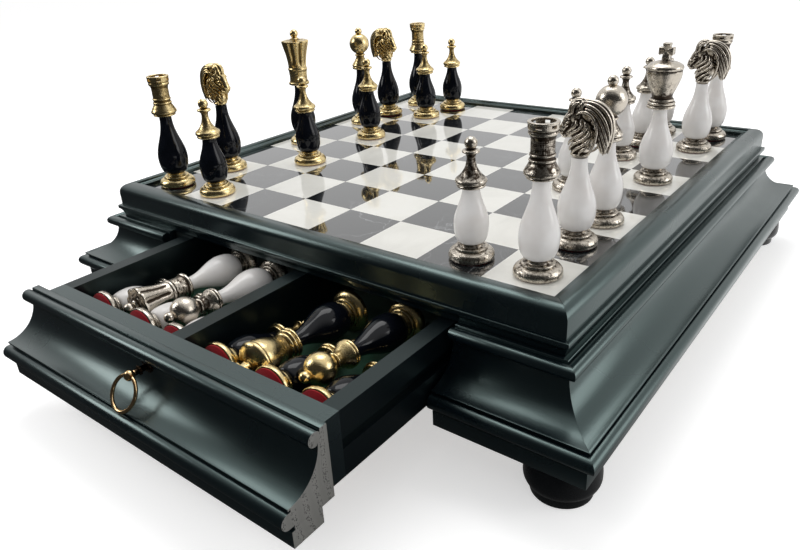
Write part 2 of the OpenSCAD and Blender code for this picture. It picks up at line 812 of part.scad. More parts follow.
module front_drawer_front() front_drawer() drawer_front();
module front_drawer_rail() front_drawer() drawer_rail();
module front_drawer_sides() front_drawer() drawer_sides();
module front_drawer_back() front_drawer() drawer_back();
module front_drawer_bottom() front_drawer() drawer_bottom();
module front_drawer_divider() front_drawer() drawer_divider();
module front_drawer_lining() front_drawer() drawer_lining();
module front_pull_post() front_drawer() pull_post();
module front_pull_rosette() front_drawer() pull_rosette();
module front_ring() front_drawer() pull_ring();
module back_drawer_front() back_drawer() drawer_front();
module back_drawer_rail() back_drawer() drawer_rail();
module back_drawer_sides() back_drawer() drawer_sides();
module back_drawer_back() back_drawer() drawer_back();
module back_drawer_bottom() back_drawer() drawer_bottom();
module back_drawer_divider() back_drawer() drawer_divider();
module back_drawer_lining() back_drawer() drawer_lining();
module back_pull_post() back_drawer() pull_post();
module back_pull_rosette() back_drawer() pull_rosette();
module back_ring() back_drawer() pull_ring();

// a turned solid from an outline of radius and height, closed on its axis
module turned(outline)
  rotate_extrude()
    polygon(concat([[0, outline[0][1]]], outline, [[0, outline[len(outline) - 1][1]]]));

// the tenon of a metal part, from a height up or down
module tenon(z)
  translate([0, 0, z])
    cylinder(r = tenon_radius, h = tenon_length);

module man_felt()
  cylinder(r = felt_radius, h = felt_thickness);

// turned metal base with its tenon
module man_base(radius) {
  grow = radius / base_outline[1][0];
  lift = (base_height - felt_thickness) / base_outline[len(base_outline) - 1][1];
  translate([0, 0, felt_thickness])
    turned([for (p = base_outline) [p[0] * (p[1] > base_rim_top ? 1 : grow), p[1] * lift]]);
  tenon(base_height - eps);
}

// lacquered column: a low belly drawn up to a slim neck, socketed at both ends
module man_column(top, belly, share = tall_belly_share) {
  belly_z = base_height + (top - base_height) * share;
  difference() {
    turned(concat(
      [for (i = [0:column_steps])
        [column_foot + (belly - column_foot) * sin(90 * i / column_steps),
          base_height + (belly_z - base_height) * (1 - cos(90 * i / column_steps))]],
      [for (i = [1:column_rise_steps])
        [column_neck + (belly - column_neck) * (1 + cos(180 * i / column_rise_steps)) / 2,
          belly_z + (top - belly_z) * i / column_rise_steps]]));
    translate([0, 0, base_height - over])
      cylinder(r = tenon_radius + tenon_gap, h = over + tenon_length + end_room);
    translate([0, 0, top - tenon_length - end_room])
      cylinder(r = tenon_radius + tenon_gap, h = end_room + tenon_length + over);
  }
}

module pawn_head() {
  translate([0, 0, pawn_column_top]) {
    turned(pawn_head_outline);
    translate([0, 0, pawn_ball[1]])
      sphere(pawn_ball[0]);
  }
  tenon(pawn_column_top - tenon_length);
}

module rook_head() {
  difference() {
    translate([0, 0, rook_column_top])
      turned(rook_outline);
    for (i = [0:rook_windows / 2 - 1])
      rotate([0, 0, 360 * i / rook_windows])
        translate([-rook_rim - over, -rook_window[0] / 2, rook_column_top + rook_window[2]])
          cube([2 * (rook_rim + over), rook_window[0], rook_window[1]]);
  }
  tenon(rook_column_top - tenon_length);
}

module bishop_head() {
  translate([0, 0, column_top]) {
    turned(bishop_outline);
    translate([0, 0, bishop_dome_rise])
      sphere(bishop_dome);
    translate([0, 0, bishop_dome_rise])
      cylinder(r = bishop_neck, h = bishop_ball[1] - bishop_dome_rise);
    translate([0, 0, bishop_ball[1]])
      sphere(bishop_ball[0]);
  }
  tenon(column_top - tenon_length);
}

module king_head() {
  translate([0, 0, column_top]) {
    turned(king_outline);
    translate([-king_cross[1] / 2, -king_cross[1] / 2, king_cross[3]])
      cube([king_cross[1], king_cross[1], king_cross[2]]);
    translate([-king_cross[0] / 2, -king_cross[1] / 2,
      king_cross[3] + (king_cross[2] - king_cross[1]) / 2 + king_cross[4]])
      cube([king_cross[0], king_cross[1], king_cross[1]]);
  }
  tenon(column_top - tenon_length);
}

module queen_head() {
  translate([0, 0, column_top])
    difference() {
      union() {
        turned(queen_outline);
        translate([0, 0, queen_ball[1]])
          sphere(queen_ball[0]);
      }
      for (i = [0:queen_flutes - 1])
        rotate([0, 0, 360 * (i + 0.5) / queen_flutes])
          translate([queen_outline[8][0] + queen_flute[0] * queen_flute[4], 0, queen_flute[1]])
            rotate([0, queen_flute[3], 0])
              cylinder(r = queen_flute[0], h = queen_flute[2]);
    }
  tenon(column_top - tenon_length);
}

// horse's head looking along +X: side outline, thinned towards the muzzle and the mane
module knight_head() {
  translate([0, 0, column_top]) {
    cylinder(r = column_neck + knight_foot_lip, h = knight_foot_height);
    difference() {
      intersection() {
        rotate([90, 0, 0])
          linear_extrude(2 * knight_thickness, center = true)
            polygon(knight_side);
        linear_extrude(knight_room)
          polygon(knight_plan);
        rotate([90, 0, 90])
          linear_extrude(2 * knight_room, center = true)
            polygon(knight_front);
      }
      for (side = [-1, 1]) {
        for (lock = knight_locks)
          translate([lock[0], side * (knight_thickness / 2 + knight_lock_out), lock[1]])
            rotate([0, knight_lock_lean, 0])
              cylinder(r = knight_lock_radius, h = knight_lock_length, center = true);
        translate([knight_eye[0], side * (knight_thickness / 2 - knight_eye_depth), knight_eye[1]])
          sphere(knight_eye[2]);
      }
    }
  }
  tenon(column_top - tenon_length);
}

// children at each given place on the board, turned about the upright
module on_board(places, turn = 0)
  for (p = places)
    translate([p[0] * square_size - half, p[1] * square_size - half, board_z])
      rotate([0, 0, turn])
        children();

gold_officer_squares = concat(gold_rook_squares, gold_knight_squares,
  gold_bishop_squares, gold_queen_squares);
silver_officer_squares = concat(silver_rook_squares, silver_knight_squares,
  silver_bishop_squares, silver_king_squares);

module gold_bases()
  color(gold) {
    on_board(gold_pawn_squares) man_base(pawn_base_radius);
    on_board(gold_officer_squares) man_base(base_radius);
  }

module black_columns()
  color(black_gloss) {
    on_board(gold_pawn_squares) man_column(pawn_column_top, pawn_belly, pawn_belly_share);
    on_board(gold_rook_squares) man_column(rook_column_top, column_belly);
    on_board(concat(gold_knight_squares, gold_bishop_squares, gold_queen_squares))
      man_column(column_top, column_belly);
  }

module gold_pawn_heads()
  color(gold)
    on_board(gold_pawn_squares) pawn_head();

module gold_officer_heads()
  color(gold) {
    on_board(gold_rook_squares) rook_head();
    on_board(gold_bishop_squares) bishop_head();
    on_board(gold_queen_squares) queen_head();
  }

module gold_knight_heads()
  color(gold)
    on_board(gold_knight_squares) knight_head();

module silver_bases()
  color(silver) {
    on_board(silver_pawn_squares) man_base(pawn_base_radius);
    on_board(silver_officer_squares) man_base(base_radius);
  }

module white_columns()
  color(white_gloss) {
    on_board(silver_pawn_squares) man_column(pawn_column_top, pawn_belly, pawn_belly_share);
    on_board(silver_rook_squares) man_column(rook_column_top, column_belly);
    on_board(concat(silver_knight_squares, silver_bishop_squares))
      man_column(column_top, column_belly);
    on_board(silver_king_squares) man_column(column_top, king_belly);
  }

module silver_pawn_heads()
  color(silver)
    on_board(silver_pawn_squares) pawn_head();

module silver_officer_heads()
  color(silver) {
    on_board(silver_rook_squares) rook_head();
    on_board(silver_bishop_squares) bishop_head();
    on_board(silver_king_squares) king_head();
  }

module silver_knight_heads()
  color(silver)
    on_board(silver_knight_squares, 180) knight_head();

module board_felts()
  color(felt_red)
    on_board(concat(gold_pawn_squares, gold_officer_squares,
      silver_pawn_squares, silver_officer_squares)) man_felt();

// left inner corners of the two compartments, left then right
compartment_x = [inner_x0, divider_x + divider_thickness / 2];

// height of a lying man's felt centre: its base rim rests on the velvet
function lying_rise(radius, tilt) =
  radius * cos(tilt) + lying_lift
    - (felt_thickness + base_outline[tilt > 0 ? 1 : 2][1]) * sin(tilt);

// children as a pawn lying with its base to the rail
module lying_pawn_places(compartment)
  front_drawer()
    for (x = [row_pawn, row_pawn2, row_pawn3])
      translate([compartment_x[compartment] + x, rail_back + lying_pawn_in,
        drawer_floor + lying_rise(pawn_base_radius, lying_pawn_tilt)])
        rotate([lying_pawn_tilt - 90, 0, 0])
          children();

// children as a tall man lying with its head to the rail
module lying_man(compartment, x, in, tilt)
  front_drawer()
    translate([compartment_x[compartment] + x, rail_back + in,
      drawer_floor + lying_rise(base_radius, tilt)])
      rotate([90 - tilt, 0, 0])
        children();

module lying_king()
  lying_man(1, row_tall, lying_king_in, lying_tall_tilt)
    children();

module lying_queen()
  lying_man(0, row_tall, lying_queen_in, lying_tall_tilt)
    children();

module lying_bishop(compartment)
  lying_man(compartment, row_bishop, lying_bishop_in, lying_bishop_tilt)
    children();

module drawer_gold_bases()
  color(gold) {
    lying_pawn_places(1) man_base(pawn_base_radius);
    lying_king() man_base(base_radius);
    lying_bishop(1) man_base(base_radius);
  }

module drawer_black_columns()
  color(black_gloss) {
    lying_pawn_places(1) man_column(pawn_column_top, pawn_belly, pawn_belly_share);
    lying_king() man_column(column_top, king_belly);
    lying_bishop(1) man_column(column_top, column_belly);
  }

module drawer_gold_heads()
  color(gold) {
    lying_pawn_places(1) pawn_head();
    lying_king() king_head();
    lying_bishop(1) bishop_head();
  }

module drawer_silver_bases()
  color(silver) {
    lying_pawn_places(0) man_base(pawn_base_radius);
    lying_queen() man_base(base_radius);
    lying_bishop(0) man_base(base_radius);
  }

module drawer_white_columns()
  color(white_gloss) {
    lying_pawn_places(0) man_column(pawn_column_top, pawn_belly, pawn_belly_share);
    lying_queen() man_column(column_top, column_belly);
    lying_bishop(0) man_column(column_top, column_belly);
  }

module drawer_silver_heads()
  color(silver) {
    lying_pawn_places(0) pawn_head();
    lying_queen() queen_head();
    lying_bishop(0) bishop_head();
  }

module drawer_felts()
  color(felt_red) {
    for (side = [0, 1]) {
      lying_pawn_places(side) man_felt();
      lying_bishop(side) man_felt();
    }
    lying_king() man_felt();
    lying_queen() man_felt();
  }

top_frame();
board_panel();
dark_squares();
light_squares();
border_line();
left_moulding();
right_moulding();
corner_mouldings();
carcase_sides();
carcase_posts();
bottom_panel();
centre_partition();
drawer_guides();
drawer_runners();
feet();
foot_pads();
foot_dowels();
front_drawer_front();
front_drawer_rail();
front_drawer_sides();
front_drawer_back();
front_drawer_bottom();
front_drawer_divider();
front_drawer_lining();
front_pull_post();
front_pull_rosette();
front_ring();
back_drawer_front();
back_drawer_rail();
back_drawer_sides();
back_drawer_back();
back_drawer_bottom();
back_drawer_divider();
back_drawer_lining();
back_pull_post();
back_pull_rosette();
back_ring();
gold_bases();
black_columns();
gold_pawn_heads();
gold_officer_heads();
gold_knight_heads();
silver_bases();
white_columns();
silver_pawn_heads();
silver_officer_heads();
silver_knight_heads();
board_felts();
drawer_gold_bases();
drawer_black_columns();
drawer_gold_heads();
drawer_silver_bases();
drawer_white_columns();
drawer_silver_heads();
drawer_felts();
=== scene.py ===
# Chess box: a board on a moulded wooden case with two drawers, dressed with its
# finishes and with smooth turned, run and carved pieces in place of the plain solids.
from math import atan2, cos, pi, radians, sin, sqrt

import bmesh
import bpy
import numpy as np
from mathutils import Matrix, Vector


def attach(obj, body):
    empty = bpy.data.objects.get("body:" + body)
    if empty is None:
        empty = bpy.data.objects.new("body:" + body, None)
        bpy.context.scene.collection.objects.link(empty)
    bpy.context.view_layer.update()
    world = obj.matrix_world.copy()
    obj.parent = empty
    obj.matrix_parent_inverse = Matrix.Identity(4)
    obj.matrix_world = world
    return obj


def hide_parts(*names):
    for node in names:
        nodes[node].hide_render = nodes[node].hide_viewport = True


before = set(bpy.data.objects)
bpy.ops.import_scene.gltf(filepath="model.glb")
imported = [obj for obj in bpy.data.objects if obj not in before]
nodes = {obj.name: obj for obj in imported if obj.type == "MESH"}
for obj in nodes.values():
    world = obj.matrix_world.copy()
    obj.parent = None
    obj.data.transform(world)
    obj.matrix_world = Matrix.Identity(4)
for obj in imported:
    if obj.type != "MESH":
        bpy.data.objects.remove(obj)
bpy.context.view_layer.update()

# ---------------------------------------------------------------------------
# Camera: looks down on the front right corner from a little above the men, with
# the slight tilt of a hand-held camera.
view_place = Vector((0.28559, -0.42718, 0.24741))
view_azimuth, view_elevation, view_roll = radians(38.97), radians(26.05), radians(3.18)
view_back = Vector((sin(view_azimuth) * cos(view_elevation),
                    -cos(view_azimuth) * cos(view_elevation), sin(view_elevation)))
view_right = Vector((0, 0, 1)).cross(view_back).normalized()
view_up = view_back.cross(view_right)
camera = bpy.data.objects.new("camera", bpy.data.cameras.new("camera"))
camera.data.lens = 31.55
camera.data.sensor_width = 36.0
camera.data.clip_start, camera.data.clip_end = 0.01, 20
bpy.context.scene.collection.objects.link(camera)
rolled_right = view_right * cos(view_roll) - view_up * sin(view_roll)
rolled_up = view_right * sin(view_roll) + view_up * cos(view_roll)
camera.matrix_world = Matrix((
    (rolled_right.x, rolled_up.x, view_back.x, view_place.x),
    (rolled_right.y, rolled_up.y, view_back.y, view_place.y),
    (rolled_right.z, rolled_up.z, view_back.z, view_place.z),
    (0, 0, 0, 1)))
bpy.context.scene.camera = camera
bpy.context.scene.view_settings.view_transform = "Standard"

# ---------------------------------------------------------------------------
# Light and floor: a pale studio with a soft lamp overhead, one from the left and one
# from the right. Polished things mirror a white backdrop behind the box and a darker
# room in front of it, and see the floor as a painted glow, bright at the back right and
# dim at the front. To the camera the white floor keeps a faint shadow.
def add(finish, kind, second=None, **values):
    """One node of a finish or node group, with its settings and the values of its
    inputs; second is for an input that shares its name with the first."""
    node = getattr(finish, "node_tree", finish).nodes.new("ShaderNode" + kind)
    for key, value in values.items():
        if key in node.inputs:
            node.inputs[key].default_value = value
        elif key.replace("_", " ") in node.inputs:
            node.inputs[key.replace("_", " ")].default_value = value
        else:
            setattr(node, key, value)
    if second is not None:
        node.inputs[1].default_value = second
    return node


def wire(finish, *links):
    """Links nodes; each link is a node and its output, then a node and its input."""
    tree = getattr(finish, "node_tree", finish)
    for source, output, target, socket in links:
        tree.links.new(source.outputs[output], target.inputs[socket])


def surface(finish):
    """The shader of a finish."""
    return finish.node_tree.nodes["Principled BSDF"]


def new_finish(name, colour, roughness, coat=0.0, coat_roughness=0.03, metal=0.0,
               specular=0.5):
    """A material with its plain values set, ready for its pattern."""
    finish = bpy.data.materials.new(name)
    finish.use_nodes = True
    for socket, value in (("Base Color", (*colour, 1)), ("Roughness", roughness),
                          ("Coat Weight", coat), ("Coat Roughness", coat_roughness),
                          ("Metallic", metal), ("Specular IOR Level", specular)):
        surface(finish).inputs[socket].default_value = value
    return finish


def room_tone(finish, glow, place, far_side, near, far, dim=0.03):
    """Makes a glow white towards the far side of the room and dim towards the near."""
    turn = add(finish, "VectorMath", far_side, operation="DOT_PRODUCT")
    tone = add(finish, "MapRange", interpolation_type="SMOOTHSTEP", From_Min=near,
               From_Max=far, To_Min=dim, To_Max=1.0)
    wire(finish, (add(finish, "TexCoord"), place, turn, 0), (turn, "Value", tone, "Value"),
         (tone, "Result", glow, "Strength"))


def soft_lamp(name, place, aim, size, power):
    """A rectangular area lamp at a place, turned towards a point."""
    lamp = bpy.data.objects.new(name, bpy.data.lights.new(name, "AREA"))
    lamp.data.shape = "RECTANGLE"
    lamp.data.size, lamp.data.size_y = size
    lamp.data.energy = power
    lamp.location = place
    lamp.rotation_mode = "QUATERNION"
    lamp.rotation_quaternion = (Vector(aim) - Vector(place)).to_track_quat("-Z", "Y")
    bpy.context.scene.collection.objects.link(lamp)


world = bpy.data.worlds.new("studio")
bpy.context.scene.world = world
world.use_nodes = True
world.node_tree.nodes.clear()
plain_sky = add(world, "Background", Strength=0.70)
backdrop = add(world, "Background", Color=(1, 1, 1, 1))
mirrored_room = add(world, "Background")
room_tone(world, mirrored_room, "Generated", (-0.1, 0.9, 0.42), -0.05, 0.45)
sky_rays = add(world, "LightPath")
mirrored_or_plain = add(world, "MixShader")
seen_or_not = add(world, "MixShader")
seen_rays = add(world, "Math", operation="MAXIMUM")
wire(world,
     (sky_rays, "Is Glossy Ray", mirrored_or_plain, "Fac"),
     (plain_sky, 0, mirrored_or_plain, 1), (mirrored_room, 0, mirrored_or_plain, 2),
     (sky_rays, "Is Camera Ray", seen_rays, 0), (sky_rays, "Is Transmission Ray", seen_rays, 1),
     (seen_rays, 0, seen_or_not, "Fac"), (mirrored_or_plain, 0, seen_or_not, 1),
     (backdrop, 0, seen_or_not, 2),
     (seen_or_not, 0, add(world, "OutputWorld"), "Surface"))

soft_lamp("lamp_over", (-0.30, 0.40, 1.5), (0, 0, 0.05), (1.0, 0.7), 7)
soft_lamp("lamp_left", (-1.15, -0.75, 0.85), (0, -0.05, 0.10), (0.5, 0.7), 5)
soft_lamp("lamp_right", (1.5, 0.55, 0.70), (0, 0, 0.08), (0.7, 1.0), 5)

floor_mesh = bpy.data.meshes.new("floor")
floor_form = bmesh.new()
bmesh.ops.create_grid(floor_form, x_segments=1, y_segments=1, size=6)
floor_form.to_mesh(floor_mesh)
floor_form.free()
floor = bpy.data.objects.new("floor", floor_mesh)
bpy.context.scene.collection.objects.link(floor)
floor_paint = new_finish("floor_paint", (0.88, 0.88, 0.88), 0.9)
floor_glow = add(floor_paint, "Emission", Strength=0.50)
floor_lit = add(floor_paint, "AddShader")
# Painted glow: in reflections the floor shows this emission instead of its lit surface, bright
# towards the back right and dim towards the front.
floor_painted_glow = add(floor_paint, "Emission")
room_tone(floor_paint, floor_painted_glow, "Object", (0.6, 0.75, 0), -0.08, 0.20)
floor_rays = add(floor_paint, "LightPath")
floor_seen = add(floor_paint, "MixShader")
floor_in_gloss = add(floor_paint, "MixShader")
wire(floor_paint,
     (surface(floor_paint), 0, floor_lit, 0), (floor_glow, 0, floor_lit, 1),
     (floor_rays, "Is Camera Ray", floor_seen, "Fac"),
     (surface(floor_paint), 0, floor_seen, 1), (floor_lit, 0, floor_seen, 2),
     (floor_rays, "Is Glossy Ray", floor_in_gloss, "Fac"),
     (floor_seen, 0, floor_in_gloss, 1), (floor_painted_glow, 0, floor_in_gloss, 2),
     (floor_in_gloss, 0, floor_paint.node_tree.nodes["Material Output"], "Surface"))
floor_mesh.materials.append(floor_paint)


# ---------------------------------------------------------------------------
# Board: 64 polished squares glued to a wooden panel, with a thin black line round
# them. The dark squares are black with fine pale veins, the light ones cream.
def ramp(finish, stops):
    """A colour ramp with stops of position and grey or colour."""
    node = add(finish, "ValToRGB")
    marks = node.color_ramp.elements
    while len(marks) > 1:
        marks.remove(marks[-1])
    for i, (place, colour) in enumerate(stops):
        mark = marks[0] if i == 0 else marks.new(place)
        mark.position = place
        mark.color = (*colour, 1) if len(colour) == 3 else (colour[0],) * 3 + (1,)
    return node


def vary(finish, tones, relief=None, stretch=None, **pattern):
    """Varies values of a finish by one noise, each through its own ramp, and lets the
    same noise lift the surface by a strength and a distance."""
    noise = add(finish, "TexNoise", **pattern)
    place, output = add(finish, "TexCoord"), "Object"
    if stretch:
        drawn = add(finish, "Mapping", Scale=stretch)
        wire(finish, (place, output, drawn, "Vector"))
        place, output = drawn, "Vector"
    wire(finish, (place, output, noise, "Vector"))
    for socket, stops in tones.items():
        tone = ramp(finish, stops)
        wire(finish, (noise, "Fac", tone, "Fac"), (tone, "Color", surface(finish), socket))
    if relief:
        bump = add(finish, "Bump", Strength=relief[0], Distance=relief[1])
        wire(finish, (noise, "Fac", bump, "Height"),
             (bump, "Normal", surface(finish), "Normal"))
    return noise


def wear(finish, *node_names):
    """Gives CAD nodes their finish."""
    for name in node_names:
        nodes[name].data.materials.clear()
        nodes[name].data.materials.append(finish)


marble_black = (0.016, 0.018, 0.020)
dark_marble = new_finish("dark_marble", marble_black, 0.05, coat=1.0, specular=1.0)
place = add(dark_marble, "TexCoord")
swirl = add(dark_marble, "TexNoise", Scale=14.0, Detail=5.0, Roughness=0.6)
bend = add(dark_marble, "VectorMath", (0.05, 0.05, 0.05), operation="MULTIPLY_ADD")
veins = add(dark_marble, "TexVoronoi", Scale=38.0, feature="DISTANCE_TO_EDGE")
vein_line = ramp(dark_marble, [(0.0, (0.8,)), (0.009, (0.3,)), (0.022, (0,))])
patch = add(dark_marble, "TexNoise", Scale=9.0, Detail=2.0)
patch_part = ramp(dark_marble, [(0.48, (0,)), (0.62, (1,))])
vein_mask = add(dark_marble, "Math", operation="MULTIPLY")
marble_mix = add(dark_marble, "Mix", data_type="RGBA", A=(*marble_black, 1),
                 B=(0.26, 0.27, 0.28, 1))
wire(dark_marble,
     (place, "Object", swirl, "Vector"), (swirl, "Color", bend, 0),
     (place, "Object", bend, 2), (bend, 0, veins, "Vector"),
     (place, "Object", patch, "Vector"), (veins, "Distance", vein_line, "Fac"),
     (patch, "Fac", patch_part, "Fac"), (vein_line, "Color", vein_mask, 0),
     (patch_part, "Color", vein_mask, 1), (vein_mask, 0, marble_mix, "Factor"),
     (marble_mix, "Result", surface(dark_marble), "Base Color"))
wear(dark_marble, "dark_squares")

light_marble = new_finish("light_marble", (0.93, 0.92, 0.86), 0.06, coat=0.3)
vary(light_marble, {"Base Color": [(0.3, (0.86, 0.85, 0.79)), (0.55, (0.93, 0.92, 0.86)),
                                   (0.75, (0.95, 0.94, 0.90))]},
     Scale=22.0, Detail=6.0, Roughness=0.62, Distortion=1.2)
wear(light_marble, "light_squares")

border_lacquer = new_finish("border_lacquer", (0.01, 0.011, 0.012), 0.15)
vary(border_lacquer, {"Roughness": [(0.3, (0.1,)), (0.7, (0.24,))]}, Scale=60.0, Detail=4.0)
wear(border_lacquer, "border_line")

# ---------------------------------------------------------------------------
# Top frame: four mitred rails run to one section, in satin green-black lacquer
# over open-pored wood whose grain runs along each rail.
mm = 0.001
half = 160.0
case_z, board_z = 71.5, 91.0
edge_ease = 0.3


def new_group(name, inputs, outputs):
    """An empty node group with a Vector and the numbers named, and its two ends."""
    group = bpy.data.node_groups.new(name, "ShaderNodeTree")
    group.interface.new_socket("Vector", in_out="INPUT", socket_type="NodeSocketVector")
    for way, names in (("INPUT", inputs), ("OUTPUT", outputs)):
        for socket in names:
            group.interface.new_socket(socket, in_out=way, socket_type="NodeSocketFloat")
    return group, group.nodes.new("NodeGroupInput"), group.nodes.new("NodeGroupOutput")


# grain stretched along one axis, put out as a height
open_grain, grain_in, grain_out = new_group("open_grain", ("Fineness",), ("Height",))
pores = add(open_grain, "TexNoise", Detail=3.0, Roughness=0.55)
pore_cut = ramp(open_grain, [(0.35, (0,)), (0.5, (1,))])
wire(open_grain,
     (grain_in, "Vector", pores, "Vector"), (grain_in, "Fineness", pores, "Scale"),
     (pores, "Fac", pore_cut, "Fac"), (pore_cut, "Color", grain_out, "Height"))


def lacquer(name, along, colour=(0.0012, 0.0036, 0.0062), roughness=0.28, shine=1.0,
            coat=0.35):
    """Satin lacquer over wood whose grain runs along X, Y or Z."""
    finish = new_finish(name, colour, roughness, coat, 0.25, specular=shine)
    shader = surface(finish)
    shader.inputs["Specular Tint"].default_value = (0.72, 1.0, 0.96, 1)
    shader.inputs["Coat Tint"].default_value = (0.92, 1.0, 0.99, 1)
    across_grain, along_grain = 1400.0, 60.0
    where = add(finish, "TexCoord")
    stretch = add(finish, "Mapping", Scale=[along_grain if axis == along else across_grain
                                            for axis in "XYZ"])
    grain = add(finish, "Group", node_tree=open_grain, Fineness=1.0)
    relief = add(finish, "Bump", Strength=0.05, Distance=0.0002)
    blotch = vary(finish, {"Roughness": [(0.3, (roughness - 0.03,)),
                                         (0.7, (roughness + 0.05,))]}, Scale=18.0, Detail=3.0)
    tint = add(finish, "Mix", data_type="RGBA", A=(*(c * 0.88 for c in colour), 1),
               B=(*(c * 1.14 for c in colour), 1))
    wire(finish,
         (where, "Object", stretch, "Vector"), (stretch, "Vector", grain, "Vector"),
         (grain, "Height", relief, "Height"), (relief, "Normal", shader, "Normal"),
         (blotch, "Fac", tint, "Factor"), (tint, "Result", shader, "Base Color"))
    return finish


lacquer_x = lacquer("lacquer_along_x", "X")
lacquer_y = lacquer("lacquer_along_y", "Y")


def arc(middle, radius, start, end, steps):
    """Points of an arc in a section, from one angle to another in degrees."""
    return [(middle[0] + radius * cos(radians(start + (end - start) * i / steps)),
             middle[1] + radius * sin(radians(start + (end - start) * i / steps)))
            for i in range(steps + 1)]


def run_section(section, x0, x1, mitre0=False, mitre1=False, base=0.0):
    """A moulding run along the back side: its section is reach and height, and each
    end is cut square at x or mitred to the corner."""
    form = bmesh.new()
    corners = [form.verts.new((0, (half + u) * mm, (base + v) * mm)) for u, v in section]
    face = form.faces.new(corners)
    other = bmesh.ops.extrude_face_region(form, geom=[face])
    ends = {0: corners, 1: [v for v in other["geom"] if isinstance(v, bmesh.types.BMVert)]}
    for end, (x, mitred, way) in {0: (x0, mitre0, -1), 1: (x1, mitre1, 1)}.items():
        shear = Matrix(((1, way, 0, 0), (0, 1, 0, 0), (0, 0, 1, 0), (0, 0, 0, 1)))
        slide = Matrix.Translation((x * mm, 0, 0))
        bmesh.ops.transform(form, matrix=shear if mitred else slide, verts=ends[end])
    bmesh.ops.recalc_face_normals(form, faces=form.faces)
    return form


def shade_smooth(form):
    """Shades a form as one smooth surface."""
    for face in form.faces:
        face.smooth = True


def soften(form, width, sharp=38, crease=40):
    """Rounds the sharp edges of a form a little and shades the rest smooth."""
    crisp = [e for e in form.edges if e.is_manifold and e.calc_face_angle() > radians(sharp)]
    if width and crisp:
        bmesh.ops.bevel(form, geom=crisp, offset=width * mm, offset_type="OFFSET",
                        segments=2, affect="EDGES", profile=0.5, material=-1,
                        clamp_overlap=True)
    shade_smooth(form)
    for edge in form.edges:
        edge.smooth = not (edge.is_manifold and edge.calc_face_angle() > radians(crease))


def turned_about(form, angle):
    """Turns a whole form about the upright."""
    bmesh.ops.rotate(form, cent=(0, 0, 0), matrix=Matrix.Rotation(radians(angle), 3, "Z"),
                     verts=form.verts)


def finished(name, form, finishes, body, replaced):
    """Makes the piece from its form, with its finish and body, in place of its node."""
    shape = bpy.data.meshes.new(name)
    form.to_mesh(shape)
    form.free()
    piece = bpy.data.objects.new(name, shape)
    bpy.context.scene.collection.objects.link(piece)
    for finish in finishes:
        piece.data.materials.append(finish)
    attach(piece, body)
    if replaced:
        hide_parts(replaced)


def gather(forms):
    """One form from several."""
    whole = bmesh.new()
    for form in forms:
        part = bpy.data.meshes.new("part")
        form.to_mesh(part)
        form.free()
        whole.from_mesh(part)
        bpy.data.meshes.remove(part)
    return whole


frame_section = (
    [(8.0, 0.0), (14.2, 0.0)]
    + [(14.2 + 7.97 * (1 - cos(t * 0.0763)), 7.97 * sin(t * 0.0763)) for t in range(1, 10)]
    + [(16.4, 5.5), (16.8, 5.5), (16.8, 7.4)] + arc((16.0, 7.4), 0.8, 20, 90, 4)
    + [(14.5, 8.2), (14.5, 17.0)] + arc((8.0, 17.0), 6.5, 6, 90, 14)
    + [(5.1, 23.5)] + arc((3.5, 23.5), 1.6, -8, -90, 6)
    + [(3.5, 21.5), (1.5, 21.5), (1.5, 18.5), (8.0, 18.5)])
rails = []
for side in range(4):
    rail = run_section(frame_section, 0, 0, True, True, case_z)
    soften(rail, edge_ease)
    turned_about(rail, 90 * side)
    for face in rail.faces:
        face.material_index = side % 2
    rails.append(rail)
finished("top_frame_rails", gather(rails), (lacquer_x, lacquer_y), "case", "top_frame")

panel_paint = lacquer("panel_paint", "X", (0.01, 0.013, 0.014), roughness=0.5, shine=0.8,
                      coat=0.0)
wear(panel_paint, "board_panel")

# ---------------------------------------------------------------------------
# Case mouldings: plinth, quirk, torus, groove, fillet, cove, step and nosing in one
# run round the case, mitred at the corners and cut through on both sides of each drawer.
plinth_z = 23.5
corner_end = 116.5


def moulding_section(back, rebate, top=48.0, rise=8.5, nose=3.3):
    """The section of the case moulding, and of the drawer fronts cut from it."""
    return ([(back, rise), (rebate, rise), (rebate, 0.0), (38.5, 0.0), (38.5, 9.0),
             (36.8, 9.0), (36.8, 11.5), (39.3, 11.5)]
            + arc((39.3, 15.5), 4.0, -82, 82, 16)
            + [(39.3, 19.5), (37.6, 19.5), (37.6, 20.6), (39.0, 20.6), (39.0, 21.5)]
            + arc((39.0, 41.5), 20.0, -93, -177, 22) + [(19.0, 41.5)]
            + arc((24.0 - nose, top - nose), nose, -104, 160, 20)
            + [(17.35, top - 2.1), (17.15, top - 0.5), (16.9, top), (back, top)])


def case_run(turn, x0=0, x1=0, mitre0=True, mitre1=True):
    """A run of the case moulding on one side of the case."""
    run = run_section(moulding_section(12.8, 20.5), x0, x1, mitre0, mitre1, plinth_z)
    soften(run, edge_ease)
    turned_about(run, turn)
    return run


for side, turn in (("left", 90), ("right", -90)):
    finished(side + "_case_moulding", case_run(turn), (lacquer_y,), "case",
             side + "_moulding")
stubs = [stub for turn in (0, 180) for stub in
         (case_run(turn, 0, -corner_end, True, False), case_run(turn, corner_end, 0, False))]
finished("corner_case_mouldings", gather(stubs), (lacquer_x,), "case", "corner_mouldings")

# ---------------------------------------------------------------------------
# Carcase: painted posts and plain wooden boards, bottom, partition, guides and
# runners, seen only when a drawer is open or from below.
bare_wood = new_finish("bare_wood", (0.42, 0.28, 0.16), 0.6)
vary(bare_wood, {"Base Color": [(0.3, (0.30, 0.19, 0.10)), (0.55, (0.45, 0.31, 0.18)),
                                (0.75, (0.52, 0.37, 0.23))]},
     (0.15, 0.0003), (6.0, 90.0, 90.0), Scale=1.6, Detail=6.0, Roughness=0.6, Distortion=0.6)
wear(bare_wood, "carcase_sides", "bottom_panel", "centre_partition", "drawer_guides",
     "drawer_runners", "foot_dowels")
wear(panel_paint, "carcase_posts")

